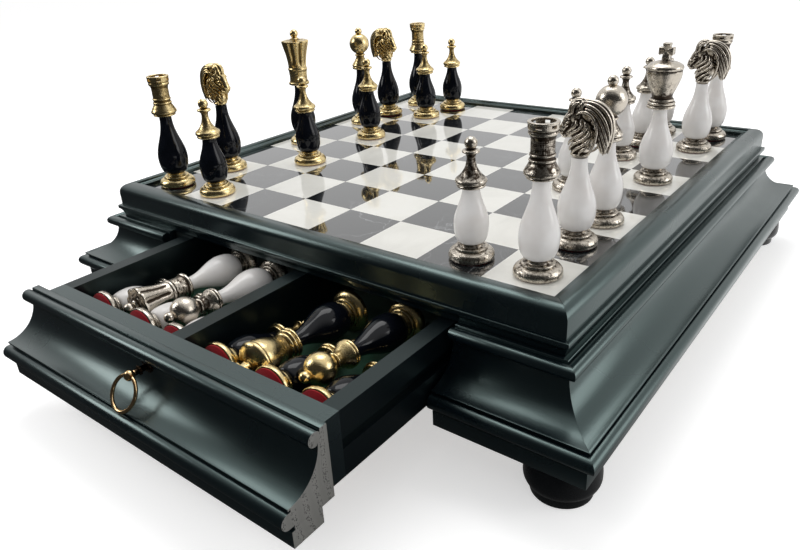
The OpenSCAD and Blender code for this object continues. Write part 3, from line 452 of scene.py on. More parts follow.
# ---------------------------------------------------------------------------
# Feet: turned buns with a flat pad under each, in the same black gloss. A dowel holds
# each of them under a corner of the case.
foot_gloss = new_finish("foot_gloss", (0.003, 0.004, 0.005), 0.22, specular=0.45)
vary(foot_gloss, {"Roughness": [(0.35, (0.18,)), (0.7, (0.3,))]}, Scale=120.0, Detail=3.0)


def turn_on_lathe(outline, steps, ease=0.12):
    """A turned form from an outline of radius and height in millimetres."""
    form = bmesh.new()
    points = [form.verts.new((r * mm, 0, z * mm)) for r, z in outline]
    lines = [form.edges.new(pair) for pair in zip(points, points[1:])]
    bmesh.ops.spin(form, geom=points + lines, cent=(0, 0, 0), axis=(0, 0, 1), dvec=(0, 0, 0),
                   angle=2 * pi, steps=steps, use_merge=True, use_normal_flip=False,
                   use_duplicate=False)
    bmesh.ops.remove_doubles(form, verts=form.verts, dist=1e-7)
    bmesh.ops.recalc_face_normals(form, faces=form.faces)
    soften(form, ease, sharp=32)
    return form


def set_out(form, places):
    """Copies of a form at each placing, joined as one form; the first is used up."""
    part = bpy.data.meshes.new("part")
    form.to_mesh(part)
    form.free()
    whole = bmesh.new()
    for placing in places:
        count = len(whole.verts)
        whole.from_mesh(part)
        whole.verts.ensure_lookup_table()
        bmesh.ops.transform(whole, matrix=placing, verts=whole.verts[count:])
    bpy.data.meshes.remove(part)
    return whole


foot_at = 178.4
pad_top = 5.0
foot_places = [Matrix.Translation((x * foot_at * mm, y * foot_at * mm, 0))
               for x in (-1, 1) for y in (-1, 1)]
bun_outline = ([(0, pad_top), (14.5, pad_top)]
               + [(14.5 + 4.5 * sin(radians(7.5 * i)),
                   pad_top + 6 * (1 - cos(radians(7.5 * i)))) for i in range(1, 13)]
               + [(15 + 4 * cos(radians(6 * i)), 11 + 12.5 * sin(radians(6 * i)))
                  for i in range(1, 16)] + [(0, plinth_z)])
finished("bun_feet", set_out(turn_on_lathe(bun_outline, 64), foot_places), (foot_gloss,),
         "case", "feet")
pad_outline = [(0, 0), (15.0, 0), (15.5, 0.5), (15.5, pad_top - 0.6), (15.0, pad_top),
               (0, pad_top)]
finished("foot_pads_turned", set_out(turn_on_lathe(pad_outline, 64), foot_places),
         (foot_gloss,), "case", "foot_pads")

# ---------------------------------------------------------------------------
# Drawers: a front cut from the case moulding, with its end grain showing, glued to a
# box of lacquered boards with a grooved bottom, a divider and a velvet lining.
drawer_open = 97
front_end = 116
end_grain = new_finish("end_grain", (0.20, 0.198, 0.185), 0.5, specular=0.7)
place = add(end_grain, "TexCoord")
from_heart = add(end_grain, "Mapping", Location=(0.0, 0.12, -0.05))
rings_of_growth = add(end_grain, "TexWave", wave_type="RINGS", rings_direction="X",
                      Scale=48.0, Distortion=2.5, Detail=2.0, Detail_Scale=1.0)
ring_tint = ramp(end_grain, [(0.0, (0.185, 0.184, 0.172)), (1.0, (0.215, 0.213, 0.200))])
drawn_out = add(end_grain, "Mapping", Scale=(1.0, 1.5, 0.8))
open_ends = add(end_grain, "TexVoronoi", Scale=1050.0, Randomness=1.0)
open_end_spots = ramp(end_grain, [(0.26, (1,)), (0.42, (0,))])
open_end_rows = ramp(end_grain, [(0.45, (0,)), (0.75, (1,))])
pit_part = add(end_grain, "Math", operation="MULTIPLY")
pits = add(end_grain, "Mix", data_type="RGBA", B=(0.018, 0.019, 0.019, 1))
pit_relief = add(end_grain, "Bump", Strength=0.5, Distance=0.0004, invert=True)
wire(end_grain,
     (place, "Object", from_heart, "Vector"), (from_heart, "Vector", rings_of_growth, "Vector"),
     (place, "Object", drawn_out, "Vector"), (drawn_out, "Vector", open_ends, "Vector"),
     (rings_of_growth, "Fac", ring_tint, "Fac"), (rings_of_growth, "Fac", open_end_rows, "Fac"),
     (open_ends, "Distance", open_end_spots, "Fac"), (open_end_spots, "Color", pit_part, 0),
     (open_end_rows, "Color", pit_part, 1), (pit_part, 0, pits, "Factor"),
     (ring_tint, "Color", pits, "A"), (pit_part, 0, pit_relief, "Height"),
     (pits, "Result", surface(end_grain), "Base Color"),
     (pit_relief, "Normal", surface(end_grain), "Normal"))

velvet = new_finish("velvet", (0.01, 0.085, 0.045), 0.95)
surface(velvet).inputs["Sheen Weight"].default_value = 0.6
surface(velvet).inputs["Sheen Roughness"].default_value = 0.4
vary(velvet, {"Base Color": [(0.3, (0.003, 0.030, 0.016)), (0.7, (0.008, 0.075, 0.038))]},
     Scale=40.0, Detail=3.0)
vary(velvet, {}, (0.4, 0.0003), Scale=900.0, Detail=3.0)

drawer_lacquer = lacquer("drawer_lacquer", "Y", (0.0012, 0.0026, 0.0042), roughness=0.34,
                         shine=0.45, coat=0.0)
for drawer in ("front", "back"):
    box = drawer + "_drawer"
    wear(lacquer_x, box + "_rail", box + "_back")
    wear(drawer_lacquer, box + "_sides", box + "_divider")
    wear(bare_wood, box + "_bottom")
    wear(velvet, box + "_lining")
    front = run_section(moulding_section(13.1, 20.8, top=47.5, rise=8.8, nose=3.6),
                        -front_end, front_end, base=plinth_z)
    soften(front, edge_ease)
    for face in front.faces:
        face.material_index = int(abs(face.calc_center_median().x) > (front_end - 0.1) * mm)
    if drawer == "front":
        turned_about(front, 180)
        bmesh.ops.translate(front, vec=(0, -drawer_open * mm, 0), verts=front.verts)
    finished(box + "_moulding", front, (lacquer_x, end_grain), box, box + "_front")

# ---------------------------------------------------------------------------
# Ring pulls: a turned post with a drilled ball, coloured gold on the ball and dark beyond it
# on the stem, a dark beaded rosette behind it, and a ring whose pin turns in the ball.
pull_gold = new_finish("pull_gold", (0.80, 0.56, 0.30), 0.14, metal=1.0)
vary(pull_gold, {"Base Color": [(0.3, (0.62, 0.40, 0.20)), (0.6, (0.86, 0.62, 0.34))],
                 "Roughness": [(0.3, (0.24,)), (0.7, (0.11,))]}, Scale=500.0, Detail=3.0)
pull_dark = new_finish("pull_dark", (0.035, 0.022, 0.014), 0.38, metal=1.0)
vary(pull_dark, {"Base Color": [(0.35, (0.016, 0.010, 0.007)), (0.7, (0.10, 0.062, 0.036))]},
     Scale=900.0, Detail=4.0)


def beaded(outline, steps, count, bead_radius, ring_radius, height):
    """A turned piece with a ring of beads set round it."""
    form = turn_on_lathe(outline, steps, 0)
    for i in range(count):
        bead = bmesh.ops.create_icosphere(form, subdivisions=2, radius=bead_radius * mm)
        bmesh.ops.translate(form, verts=bead["verts"], vec=(
            ring_radius * mm * cos(2 * pi * i / count),
            ring_radius * mm * sin(2 * pi * i / count), height * mm))
    shade_smooth(form)
    return form


ball_out, ball_z, ball_edge = 190.5, 60.3, 3.1
for drawer, ball_y, way in (("front", -ball_out - drawer_open, 1), ("back", ball_out, -1)):
    post = pull_gold.copy()
    post.name = drawer + "_post_gold"
    bright = surface(post).inputs["Base Color"].links[0].from_node
    # The post's colour turns from the gold of the ball to dark beyond the ball's edge, on the
    # stem.
    off_ball = add(post, "VectorMath", (0, ball_y * mm, ball_z * mm), operation="DISTANCE")
    near_ball = add(post, "MapRange", From_Min=(ball_edge - 0.2) * mm,
                    From_Max=(ball_edge + 0.2) * mm)
    two_tone = add(post, "Mix", data_type="RGBA", B=(0.030, 0.019, 0.012, 1))
    wire(post,
         (add(post, "TexCoord"), "Object", off_ball, 0),
         (off_ball, "Value", near_ball, "Value"), (near_ball, "Result", two_tone, "Factor"),
         (bright, "Color", two_tone, "A"), (two_tone, "Result", surface(post), "Base Color"))
    wear(post, drawer + "_pull_post")
    wear(pull_gold, drawer + "_ring")
    collar = beaded([(1.55, 0), (2.1, 0.1), (2.1, 1.4), (1.55, 1.5), (1.55, 0)],
                    32, count=9, bead_radius=0.68, ring_radius=2.0, height=0.75)
    rosette = beaded([(1.75, 0), (3.3, 0), (3.3, 0.9), (2.9, 1.3), (2.4, 1.5), (2.25, 1.9),
                      (1.9, 2.0), (1.75, 1.9), (1.75, 0)],
                     40, count=13, bead_radius=0.82, ring_radius=3.38, height=1.1)
    for name, form, behind, replaced, slot_name in (
            ("_post_collar", collar, 6.3, None, "pull_brass"),
            ("_rosette_beaded", rosette, 11.5, drawer + "_pull_rosette", "pull_bronze")):
        placing = (Matrix.Translation((0, (ball_y + way * behind) * mm, ball_z * mm))
                   @ Matrix.Rotation(radians(90 * way), 4, "X"))
        finished(drawer + name, set_out(form, [placing]), (pull_dark,), drawer + "_drawer",
                 replaced)

# ---------------------------------------------------------------------------
# Felts: a red disc glued under every man, cut a little smaller than its base. The men
# stand a little off the middle of their squares, as hands put them down.
men_felt = new_finish("men_felt", (0.34, 0.010, 0.018), 0.95, specular=0.15)
surface(men_felt).inputs["Sheen Weight"].default_value = 0.35
surface(men_felt).inputs["Sheen Tint"].default_value = (1.0, 0.45, 0.45, 1)
vary(men_felt, {"Base Color": [(0.3, (0.22, 0.004, 0.010)), (0.7, (0.46, 0.018, 0.028))]},
     (0.5, 0.0002), Scale=1500.0, Detail=4.0, Roughness=0.7)

square = 40.0
squares_at = {
    "gold": {"pawn": [(1.44, 0.43), (1.6, 2.56), (1.48, 4.55), (1.49, 6.56), (1.59, 7.51)],
             "rook": [(0.37, 0.39), (0.58, 7.56)], "knight": [(0.5, 1.51), (0.51, 6.4)],
             "bishop": [(0.52, 5.47)], "queen": [(0.48, 3.57)]},
    "silver": {"pawn": [(6.59, 0.47), (6.53, 3.59), (6.54, 5.59), (6.58, 6.61), (6.61, 7.52)],
               "rook": [(7.56, 0.47), (7.54, 7.59)], "knight": [(7.54, 1.56), (7.54, 6.65)],
               "bishop": [(7.54, 2.47)], "king": [(7.52, 4.58)]}}


def standing(metal, kind, turn=0):
    """Placings on the board of the men of one metal and kind."""
    return [Matrix.Translation(((i * square - half) * mm, (j * square - half) * mm,
                                board_z * mm)) @ Matrix.Rotation(radians(turn), 4, "Z")
            for i, j in squares_at[metal][kind]]


# The lying men: in each compartment three pawns with their bases to the front, and
# between them a king or queen and a bishop the other way round.
rail_face, velvet_top = -261.1, 43.0
compartment_left = (-93.7, 10.8)
felt_thick = 0.6
pawn_base, officer_base = 12.2, 12.4


def lying(side, across, inward, radius, rim, tilt, head_out):
    """Placing of a man lying in a compartment, its base rim and its head on the velvet."""
    rise = radius * cos(radians(tilt)) + 0.05 - (felt_thick + rim) * sin(radians(tilt))
    angle = 90 - tilt if head_out else tilt - 90
    return (Matrix.Translation(((compartment_left[side] + across) * mm,
                                (rail_face + inward) * mm, (velvet_top + rise) * mm))
            @ Matrix.Rotation(radians(angle), 4, "X"))


standing_men = {metal: {kind: standing(metal, kind) for kind in kinds}
                for metal, kinds in squares_at.items()}
lying_men = {
    metal: {"pawn": [lying(side, across, 7.5, pawn_base, rim=2.0, tilt=-6.2, head_out=False)
                     for across in (12.6, 50.6, 81.9)],
            "bishop": [lying(side, 66.25, 97, officer_base, rim=0.8, tilt=5.8, head_out=True)],
            chief: [lying(side, 31.6, inward, officer_base, rim=0.8, tilt=3.2,
                          head_out=True)]}
    for metal, side, chief, inward in (("gold", 1, "king", 90), ("silver", 0, "queen", 102))}
for name, men, radius, body, node in (
        ("board_felt_discs", standing_men, 10.4, "case", "board_felts"),
        ("drawer_felt_discs", lying_men, 11.2, "front_drawer", "drawer_felts")):
    disc = turn_on_lathe([(0, 0), (radius - 0.2, 0), (radius, 0.15), (radius, felt_thick),
                          (0, felt_thick)], 40, 0)
    everywhere = [at for kinds in men.values() for places in kinds.values() for at in places]
    finished(name, set_out(disc, everywhere), (men_felt,), body, node)


# ---------------------------------------------------------------------------
# Columns: turned wood under many coats of gloss lacquer, black with gold fittings and
# ivory white with silver ones. Each has a low belly and a slim neck.
base_top = 9.5


def column_outline(top, belly, foot=6.4):
    """Outline of a column from its foot up to its neck."""
    belly_z = base_top + (top - base_top) * (0.27 if top > 40 else 0.34)
    neck, ease = (4.15, 1.35) if top > 40 else (4.45, 1.1)
    return ([(0, base_top), (foot - 0.3, base_top)]
            + [(foot + (belly - foot) * sin(radians(9 * i)),
                base_top + 0.15 + (belly_z - base_top - 0.15) * (1 - cos(radians(9 * i))))
               for i in range(11)]
            + [(neck + (belly - neck) * ((1 + cos(radians(9 * i))) / 2) ** ease,
                belly_z + (top - belly_z) * i / 20) for i in range(1, 21)] + [(0, top)])


def column_gloss(name, colour, second, shine):
    """Clear gloss over the lacquer of a column, with faint unevenness."""
    finish = new_finish(name, colour, 0.10, specular=shine)
    vary(finish, {"Base Color": [(0.35, colour), (0.7, second)]}, (0.05, 0.0004),
         Scale=90.0, Detail=2.0)
    return finish


def fit_every_man(part, of_metal, shape):
    """Fits one turned part to every man, on the board and in the drawer."""
    for prefix, body, men in (("", "case", standing_men),
                              ("drawer_", "front_drawer", lying_men)):
        for metal, (tone, finish) in of_metal.items():
            forms = [set_out(shape(kind), places) for kind, places in men[metal].items()]
            finished(f"{prefix}{tone}_{part}_turned", gather(forms), (finish,), body,
                     f"{prefix}{tone}_{part}")


column_black = column_gloss("column_black", (0.002, 0.003, 0.005), (0.005, 0.006, 0.010), 0.3)
column_white = column_gloss("column_white", (0.84, 0.81, 0.785), (0.90, 0.885, 0.87), 0.5)
# top of the column and radius of its belly
column_of = {"pawn": (39.5, 9.2), "rook": (50.0, 10.2), "knight": (48.5, 10.2),
             "bishop": (48.5, 10.2), "queen": (48.5, 10.2), "king": (48.5, 10.6)}
fit_every_man("columns",
              {"gold": ("black", column_black), "silver": ("white", column_white)},
              lambda kind: turn_on_lathe(column_outline(*column_of[kind]), 48, 0))


# ---------------------------------------------------------------------------
# Metal fittings: cast heads and bases, plated and antiqued, so that the hollows stay
# dark and the high places are polished bright.
def flowing(points, steps=5):
    """A smooth line through outline points, with some steps between each two."""
    line = []
    padded = [points[0]] + list(points) + [points[-1]]
    for a, b, c, d in zip(padded, padded[1:], padded[2:], padded[3:]):
        for i in range(steps):
            t = i / steps
            line.append(tuple(0.5 * (2 * q + (r - p) * t + (2 * p - 5 * q + 4 * r - s) * t * t
                                     + (3 * q - p - 3 * r + s) * t ** 3)
                              for p, q, r, s in zip(a, b, c, d)))
    return line + [tuple(points[-1])]


def note_hollows(form, rounds, full, level=0.5, outline_only=False):
    """Keeps on each point how deep it lies in a hollow of its form, from 0 to 1; for
    turned forms only the hollows of the outline count."""
    form.verts.ensure_lookup_table()
    form.normal_update()
    at = np.array([v.co for v in form.verts])
    normals = np.array([v.normal for v in form.verts])
    ends = np.array([[v.index for v in e.verts] for e in form.edges])
    if outline_only:
        reach = np.hypot(at[:, 0], at[:, 1])
        way = np.stack([reach, at[:, 2]], 1)
        ends = ends[np.abs(way[ends[:, 0]] - way[ends[:, 1]]).max(1) > 1e-6]
    count = np.bincount(ends.ravel(), minlength=len(at)).astype(float)[:, None]
    eased = at.copy()
    for _ in range(rounds):
        total = np.zeros_like(at)
        np.add.at(total, ends[:, 0], eased[ends[:, 1]])
        np.add.at(total, ends[:, 1], eased[ends[:, 0]])
        eased = total / np.maximum(count, 1)
    depth = ((eased - at) * normals).sum(1) / (full * mm)
    layer = form.verts.layers.float.new("hollow")
    for vert, value in zip(form.verts, np.clip(level + depth, 0, 1)):
        vert[layer] = value


# where tarnish stays: in the hollows and in cloudy patches
tarnish, tarnish_in, tarnish_out = new_group("tarnish", ("Hollow", "Cloud", "Age"),
                                             ("Mask", "Relief"))
clouds = add(tarnish, "TexNoise", Scale=520.0, Detail=5.0, Roughness=0.66)
grit = add(tarnish, "TexNoise", Scale=1500.0, Detail=3.0, Roughness=0.6)
centred = add(tarnish, "Math", 0.5, operation="SUBTRACT")
spread = add(tarnish, "Math", operation="MULTIPLY_ADD")
settle = add(tarnish, "Math", operation="ADD")
edge = ramp(tarnish, [(0.46, (0,)), (0.66, (1,))])
grit_height = add(tarnish, "Math", 0.25, operation="MULTIPLY_ADD")
wire(tarnish,
     (tarnish_in, "Vector", clouds, "Vector"), (tarnish_in, "Vector", grit, "Vector"),
     (clouds, "Fac", centred, 0), (centred, 0, spread, 0), (tarnish_in, "Cloud", spread, 1),
     (tarnish_in, "Age", spread, 2), (tarnish_in, "Hollow", settle, 0),
     (spread, 0, settle, 1), (settle, 0, edge, "Fac"), (grit, "Fac", grit_height, 0),
     (clouds, "Fac", grit_height, 2), (edge, "Color", tarnish_out, "Mask"),
     (grit_height, 0, tarnish_out, "Relief"))


def plated(name, bright, dark, cloud, age, roughness, relief):
    """Antiqued plate: bright where it is rubbed, dark in the hollows."""
    finish = new_finish(name, bright, roughness, metal=1.0)
    shader = surface(finish)
    depth = add(finish, "Attribute", attribute_name="hollow")
    dark_part = add(finish, "Group", node_tree=tarnish, Cloud=cloud, Age=age)
    tone = add(finish, "Mix", data_type="RGBA", A=(*bright, 1), B=(*dark, 1))
    dulling = ramp(finish, [(0.0, (roughness,)), (1.0, (roughness + 0.25,))])
    cast_skin = add(finish, "Bump", Strength=relief, Distance=0.0006)
    wire(finish,
         (add(finish, "TexCoord"), "Object", dark_part, "Vector"),
         (depth, "Fac", dark_part, "Hollow"), (dark_part, "Mask", tone, "Factor"),
         (tone, "Result", shader, "Base Color"), (dark_part, "Mask", dulling, "Fac"),
         (dulling, "Color", shader, "Roughness"), (dark_part, "Relief", cast_skin, "Height"),
         (cast_skin, "Normal", shader, "Normal"))
    return finish


plates = {"gold": plated("gold_plate", (0.86, 0.68, 0.35), (0.22, 0.15, 0.055),
                         cloud=0.9, age=-0.04, roughness=0.20, relief=0.28),
          "silver": plated("silver_plate", (0.66, 0.60, 0.515), (0.062, 0.046, 0.034),
                           cloud=1.15, age=0.02, roughness=0.22, relief=0.38)}


def metal_turning(outline, steps=48):
    """A turned metal form with its hollows noted."""
    form = turn_on_lathe(outline, steps, 0)
    note_hollows(form, rounds=6, full=0.90, outline_only=True)
    return form


def base_outline(radius):
    """Outline of a base: a rounded flange, a ring and a neck under the column."""
    wide = radius - officer_base
    return ([(0, felt_thick), (11.2 + wide, felt_thick)]
            + flowing([(11.5 + wide, felt_thick), (12.15 + wide, 0.85), (12.4 + wide, 1.4),
                       (12.4 + wide, 2.5), (12.1 + wide, 3.5), (11.2, 4.7), (9.9, 5.5),
                       (8.9, 5.8)])
            + flowing([(8.55, 5.95), (8.7, 6.3), (8.6, 6.9), (8.2, 7.25), (7.5, 7.4)])
            + flowing([(7.0, 7.35), (6.3, 7.7), (6.0, 8.2), (6.0, 8.8), (6.3, 9.4)])
            + [(0, base_top)])


fit_every_man("bases", {metal: (metal, plate) for metal, plate in plates.items()},
              lambda kind: metal_turning(base_outline(
                  pawn_base if kind == "pawn" else officer_base)))


# ---------------------------------------------------------------------------
# Pawn heads: a flanged skirt drawn up to a thin collar with a ball on it. They are
# turned and plated, and sit on their columns.
def ball(middle, radius, start, end=90, steps=14):
    """Outline of a ball from one angle below or above its middle to another."""
    return arc((0, middle), radius, start, end, steps)


def on_column(kind, outline):
    """An outline of a head, lifted to the top of the column that it stands on."""
    return [(r, column_of[kind][0] + z) for r, z in outline]


def pawn_head():
    """A pawn's head, standing on its column."""
    return metal_turning(on_column(
        "pawn", [(0, 0), (6.6, 0)]
        + flowing([(6.9, 0), (7.4, 0.4), (7.4, 1.1), (7.05, 1.6)], 4)
        + flowing([(7.1, 1.9), (7.8, 2.15), (8.15, 2.9), (8.0, 3.9), (7.5, 4.5)], 4)
        + flowing([(7.2, 4.7), (5.7, 6.0), (4.4, 7.7), (3.2, 9.9), (2.5, 12.4), (2.2, 14.6),
                   (2.5, 16.3), (3.3, 17.3)], 4)
        + flowing([(3.7, 17.4), (4.4, 17.7), (4.45, 18.3), (4.0, 18.9), (2.4, 19.3)], 3)
        + ball(22.2, 3.3, -58)), 40)


def fit_heads(name, head, places, metal, node=None):
    """Sets out the heads of one kind and metal, on the board or in the drawer."""
    lies = name.startswith("drawer_")
    node = node or (f"drawer_{metal}_heads" if lies else f"{metal}_officer_heads")
    finished(name, set_out(head, places), (plates[metal],),
             "front_drawer" if lies else "case", node)


for metal in plates:
    fit_heads(metal + "_pawn_heads_turned", pawn_head(), standing_men[metal]["pawn"], metal,
              metal + "_pawn_heads")
for metal in plates:
    fit_heads(f"drawer_{metal}_pawn_heads", pawn_head(), lying_men[metal]["pawn"], metal)


# ---------------------------------------------------------------------------
# Rook heads: ringed towers with a knurled band and an open cup, pierced by six windows
# under the rim. They are cast in one and screwed to the column.
def rook_head():
    """A rook's head, standing on its column."""
    top = column_of["rook"][0]
    band_foot, band_top, cup_floor, cup_radius = 12.5, 19.0, 22.5, 5.65
    knurls, knurl_slant, knurl_depth = 16, 3.4, 0.14
    windows, pier_width = 6, 36
    pitch = 360 / windows
    tower = turn_on_lathe(on_column(
        "rook", [(0, 0), (5.5, 0)]
        + flowing([(6.6, 0.1), (7.3, 0.4), (7.5, 1.0), (7.1, 1.6)], 4)
        + flowing([(7.3, 1.8), (8.3, 2.1), (8.6, 2.9), (8.4, 3.8), (7.5, 5.4), (6.6, 7.0),
                   (6.0, 8.2)], 4)
        + flowing([(6.0, 8.4), (6.35, 8.7), (6.35, 9.3), (5.9, 9.7)], 3)
        + flowing([(5.7, 9.9), (5.7, 10.9)], 2)
        + flowing([(5.8, 11.0), (6.15, 11.3), (6.1, 11.9), (5.7, 12.3)], 3)
        + [(5.6, 12.6 + 0.45 * i) for i in range(15)]
        + flowing([(5.75, 19.3), (6.1, 20.4), (6.75, 21.2), (6.95, 21.9), (6.75, 22.7)], 3)
        + flowing([(6.65, 22.9), (7.05, 23.3), (7.2, 23.9)], 3)
        + [(7.2, 24.3), (5.7, 24.3), (5.6, 22.9), (5.2, 22.7), (0, 22.6)]), 96, 0)
    note_hollows(tower, rounds=6, full=0.70, level=0.56, outline_only=True)
    depth = tower.verts.layers.float["hollow"]
    for vert in tower.verts:
        rise = vert.co.z / mm - top
        reach = sqrt(vert.co.x ** 2 + vert.co.y ** 2) / mm
        if band_foot < rise < band_top:
            turn = atan2(vert.co.y, vert.co.x)
            knurl = (sin(knurls * turn + knurl_slant * rise)
                     * sin(knurls * turn - knurl_slant * rise))
            grow = 1 + knurl_depth * knurl / max(reach, 1)
            vert.co.x *= grow
            vert.co.y *= grow
            vert[depth] = 0.58 - knurl_depth * knurl
        elif rise > cup_floor and reach < cup_radius:
            vert[depth] = 0.95
    rim = turn_on_lathe(on_column("rook", [
        (5.7, 25.9), (7.2, 25.9), (7.4, 26.3), (7.35, 26.9), (7.1, 27.1), (5.9, 27.1),
        (5.7, 26.9), (5.7, 25.9)]), 48, 0.03)
    note_hollows(rim, rounds=3, full=0.30, outline_only=True)
    parts = [tower, rim]
    for i in range(windows):
        pier = bmesh.new()
        corners = [pier.verts.new((r * mm, 0, z * mm)) for r, z in on_column(
            "rook", [(5.7, 24.3), (7.2, 24.3), (7.2, 25.9), (5.7, 25.9)])]
        pier_face = pier.faces.new(corners)
        bmesh.ops.spin(pier, geom=[pier_face], cent=(0, 0, 0), axis=(0, 0, 1),
                       dvec=(0, 0, 0), angle=radians(pier_width), steps=6, use_merge=False,
                       use_normal_flip=False, use_duplicate=False)
        bmesh.ops.recalc_face_normals(pier, faces=pier.faces)
        turned_about(pier, (pitch - pier_width) / 2 + pitch * i)
        note_hollows(pier, rounds=1, full=0.4)
        parts.append(pier)
    return gather(parts)


for metal, turn in (("gold", 30), ("silver", 39)):
    fit_heads(metal + "_rook_heads", rook_head(), standing(metal, "rook", turn), metal)


# ---------------------------------------------------------------------------
# Bishop heads: a large ball on a waisted foot, with a small ball above it, cast in one,
# plated and set on the column.
def bishop_head():
    """A bishop's head, standing on its column."""
    return metal_turning(on_column(
        "bishop", [(0, 0), (6.5, 0)]
        + flowing([(6.9, 0.1), (7.4, 0.7), (7.4, 1.6), (7.0, 2.2)], 4)
        + flowing([(7.1, 2.5), (7.5, 3.0), (7.3, 3.9), (5.6, 6.4), (4.0, 8.8), (3.4, 10.8)], 4)
        + flowing([(3.7, 11.1), (4.4, 11.5), (4.4, 12.2), (3.7, 12.7)], 3)
        + [(3.5, 12.9)] + ball(21.3, 8.5, -64, 76, 24)
        + flowing([(1.9, 29.5), (1.6, 29.7), (1.5, 29.9)], 2) + ball(31.7, 3.0, -52)))


for metal in plates:
    fit_heads(metal + "_bishop_heads", bishop_head(), standing_men[metal]["bishop"], metal)
for metal in plates:
    fit_heads(f"drawer_{metal}_bishop_head", bishop_head(), lying_men[metal]["bishop"], metal)


# ---------------------------------------------------------------------------
# King heads: a flaring bowl on a ringed foot with a domed lid, and a cross with flared
# arms soldered on top.
def king_head():
    """A king's head, standing on its column."""
    bowl = metal_turning(on_column(
        "king", [(0, 0), (6.0, 0)]
        + flowing([(8.0, 0.1), (8.7, 0.5), (8.7, 1.5), (8.0, 2.0)], 4)
        + flowing([(7.9, 2.3), (8.4, 2.7), (8.4, 3.6), (7.6, 4.1)], 4)
        + flowing([(7.2, 4.4), (7.5, 4.9), (7.2, 5.6), (6.6, 6.0)], 4)
        + flowing([(6.1, 6.4), (6.3, 8.0), (7.4, 10.6), (8.9, 14.2), (10.2, 18.2),
                   (10.7, 21.6), (10.5, 23.4)], 4)
        + flowing([(10.8, 23.7), (11.1, 24.3), (11.0, 25.3), (10.2, 26.4), (7.6, 27.8),
                   (4.4, 28.7), (2.8, 29.0)], 4)
        + flowing([(2.3, 29.1), (2.2, 29.8), (2.4, 30.3)], 3) + [(0, 30.4)]))
    cross_middle = column_of["king"][0] + 34.5
    cross = bmesh.new()
    for along, length in (((0, 0, 1), 4.8), ((0, 0, -1), 4.8), ((1, 0, 0), 4.5),
                          ((-1, 0, 0), 4.5)):
        way = Vector(along).to_track_quat("Z", "Y").to_matrix().to_4x4()
        arm = bmesh.ops.create_cone(cross, cap_ends=True, segments=4, radius1=2.4 * mm,
                                    radius2=3.5 * mm, depth=length * mm)["verts"]
        bmesh.ops.rotate(cross, verts=arm, matrix=Matrix.Rotation(radians(45), 3, "Z"))
        bmesh.ops.scale(cross, verts=arm, vec=(1, 0.97, 1))
        bmesh.ops.translate(cross, verts=arm, vec=(0, 0, length * mm / 2))
        bmesh.ops.transform(cross, verts=arm, matrix=way)
    bmesh.ops.translate(cross, verts=cross.verts, vec=(0, 0, cross_middle * mm))
    bmesh.ops.bevel(cross, geom=list(cross.edges), offset=0.6 * mm, segments=3,
                    affect="EDGES", profile=0.5, material=-1, clamp_overlap=True)
    shade_smooth(cross)
    note_hollows(cross, rounds=2, full=0.3)
    return gather([bowl, cross])


fit_heads("silver_king_head", king_head(), standing_men["silver"]["king"], "silver")
fit_heads("drawer_gold_king_head", king_head(), lying_men["gold"]["king"], "gold")


# ---------------------------------------------------------------------------
# Queen heads: a tall flaring crown with eight flutes, and a ball on its lid. The flutes
# are cast in, and the whole head is plated.
def queen_head():
    """A queen's head, standing on its column."""
    top = column_of["queen"][0]
    flutes, flute_foot, flute_top, flute_depth, wall = 8, 14.6, 34.9, 1.5, 6
    crown = turn_on_lathe(on_column(
        "queen", [(0, 0), (6.0, 0)]
        + flowing([(7.6, 0.1), (8.2, 0.6), (8.2, 1.8), (7.5, 2.5)], 4)
        + flowing([(7.2, 2.9), (7.0, 6.5), (7.3, 11.0)], 4)
        + flowing([(7.4, 11.4), (7.7, 12.0), (7.6, 13.0), (7.2, 13.6)], 3)
        + flowing([(7.2, 14.0), (7.4, 18), (8.4, 24), (9.9, 30), (10.7, 33.2)], 6)
        + [(10.6, 34.1), (9.6, 34.5)]
        + flowing([(9.2, 34.4), (6.5, 34.7), (4.0, 35.2), (2.8, 36.3), (1.7, 36.8)], 4)
        + ball(39.5, 3.2, -57)), 96, 0)
    for vert in crown.verts:
        rise = vert.co.z / mm - top
        reach = sqrt(vert.co.x ** 2 + vert.co.y ** 2)
        if flute_foot < rise < flute_top and reach > wall * mm:
            turn = (atan2(vert.co.y, vert.co.x) / (2 * pi) * flutes) % 1
            flute = max(0.0, 1 - abs(turn - 0.5) / 0.30)
            depth = flute_depth * mm * flute ** 0.8 * min(1.0, (rise - flute_foot) / 4)
            vert.co.x -= vert.co.x / reach * depth
            vert.co.y -= vert.co.y / reach * depth
    note_hollows(crown, rounds=6, full=0.30)
    return crown


fit_heads("gold_queen_head", queen_head(), standing_men["gold"]["queen"], "gold")
fit_heads("drawer_silver_queen_head", queen_head(), lying_men["silver"]["queen"], "silver")


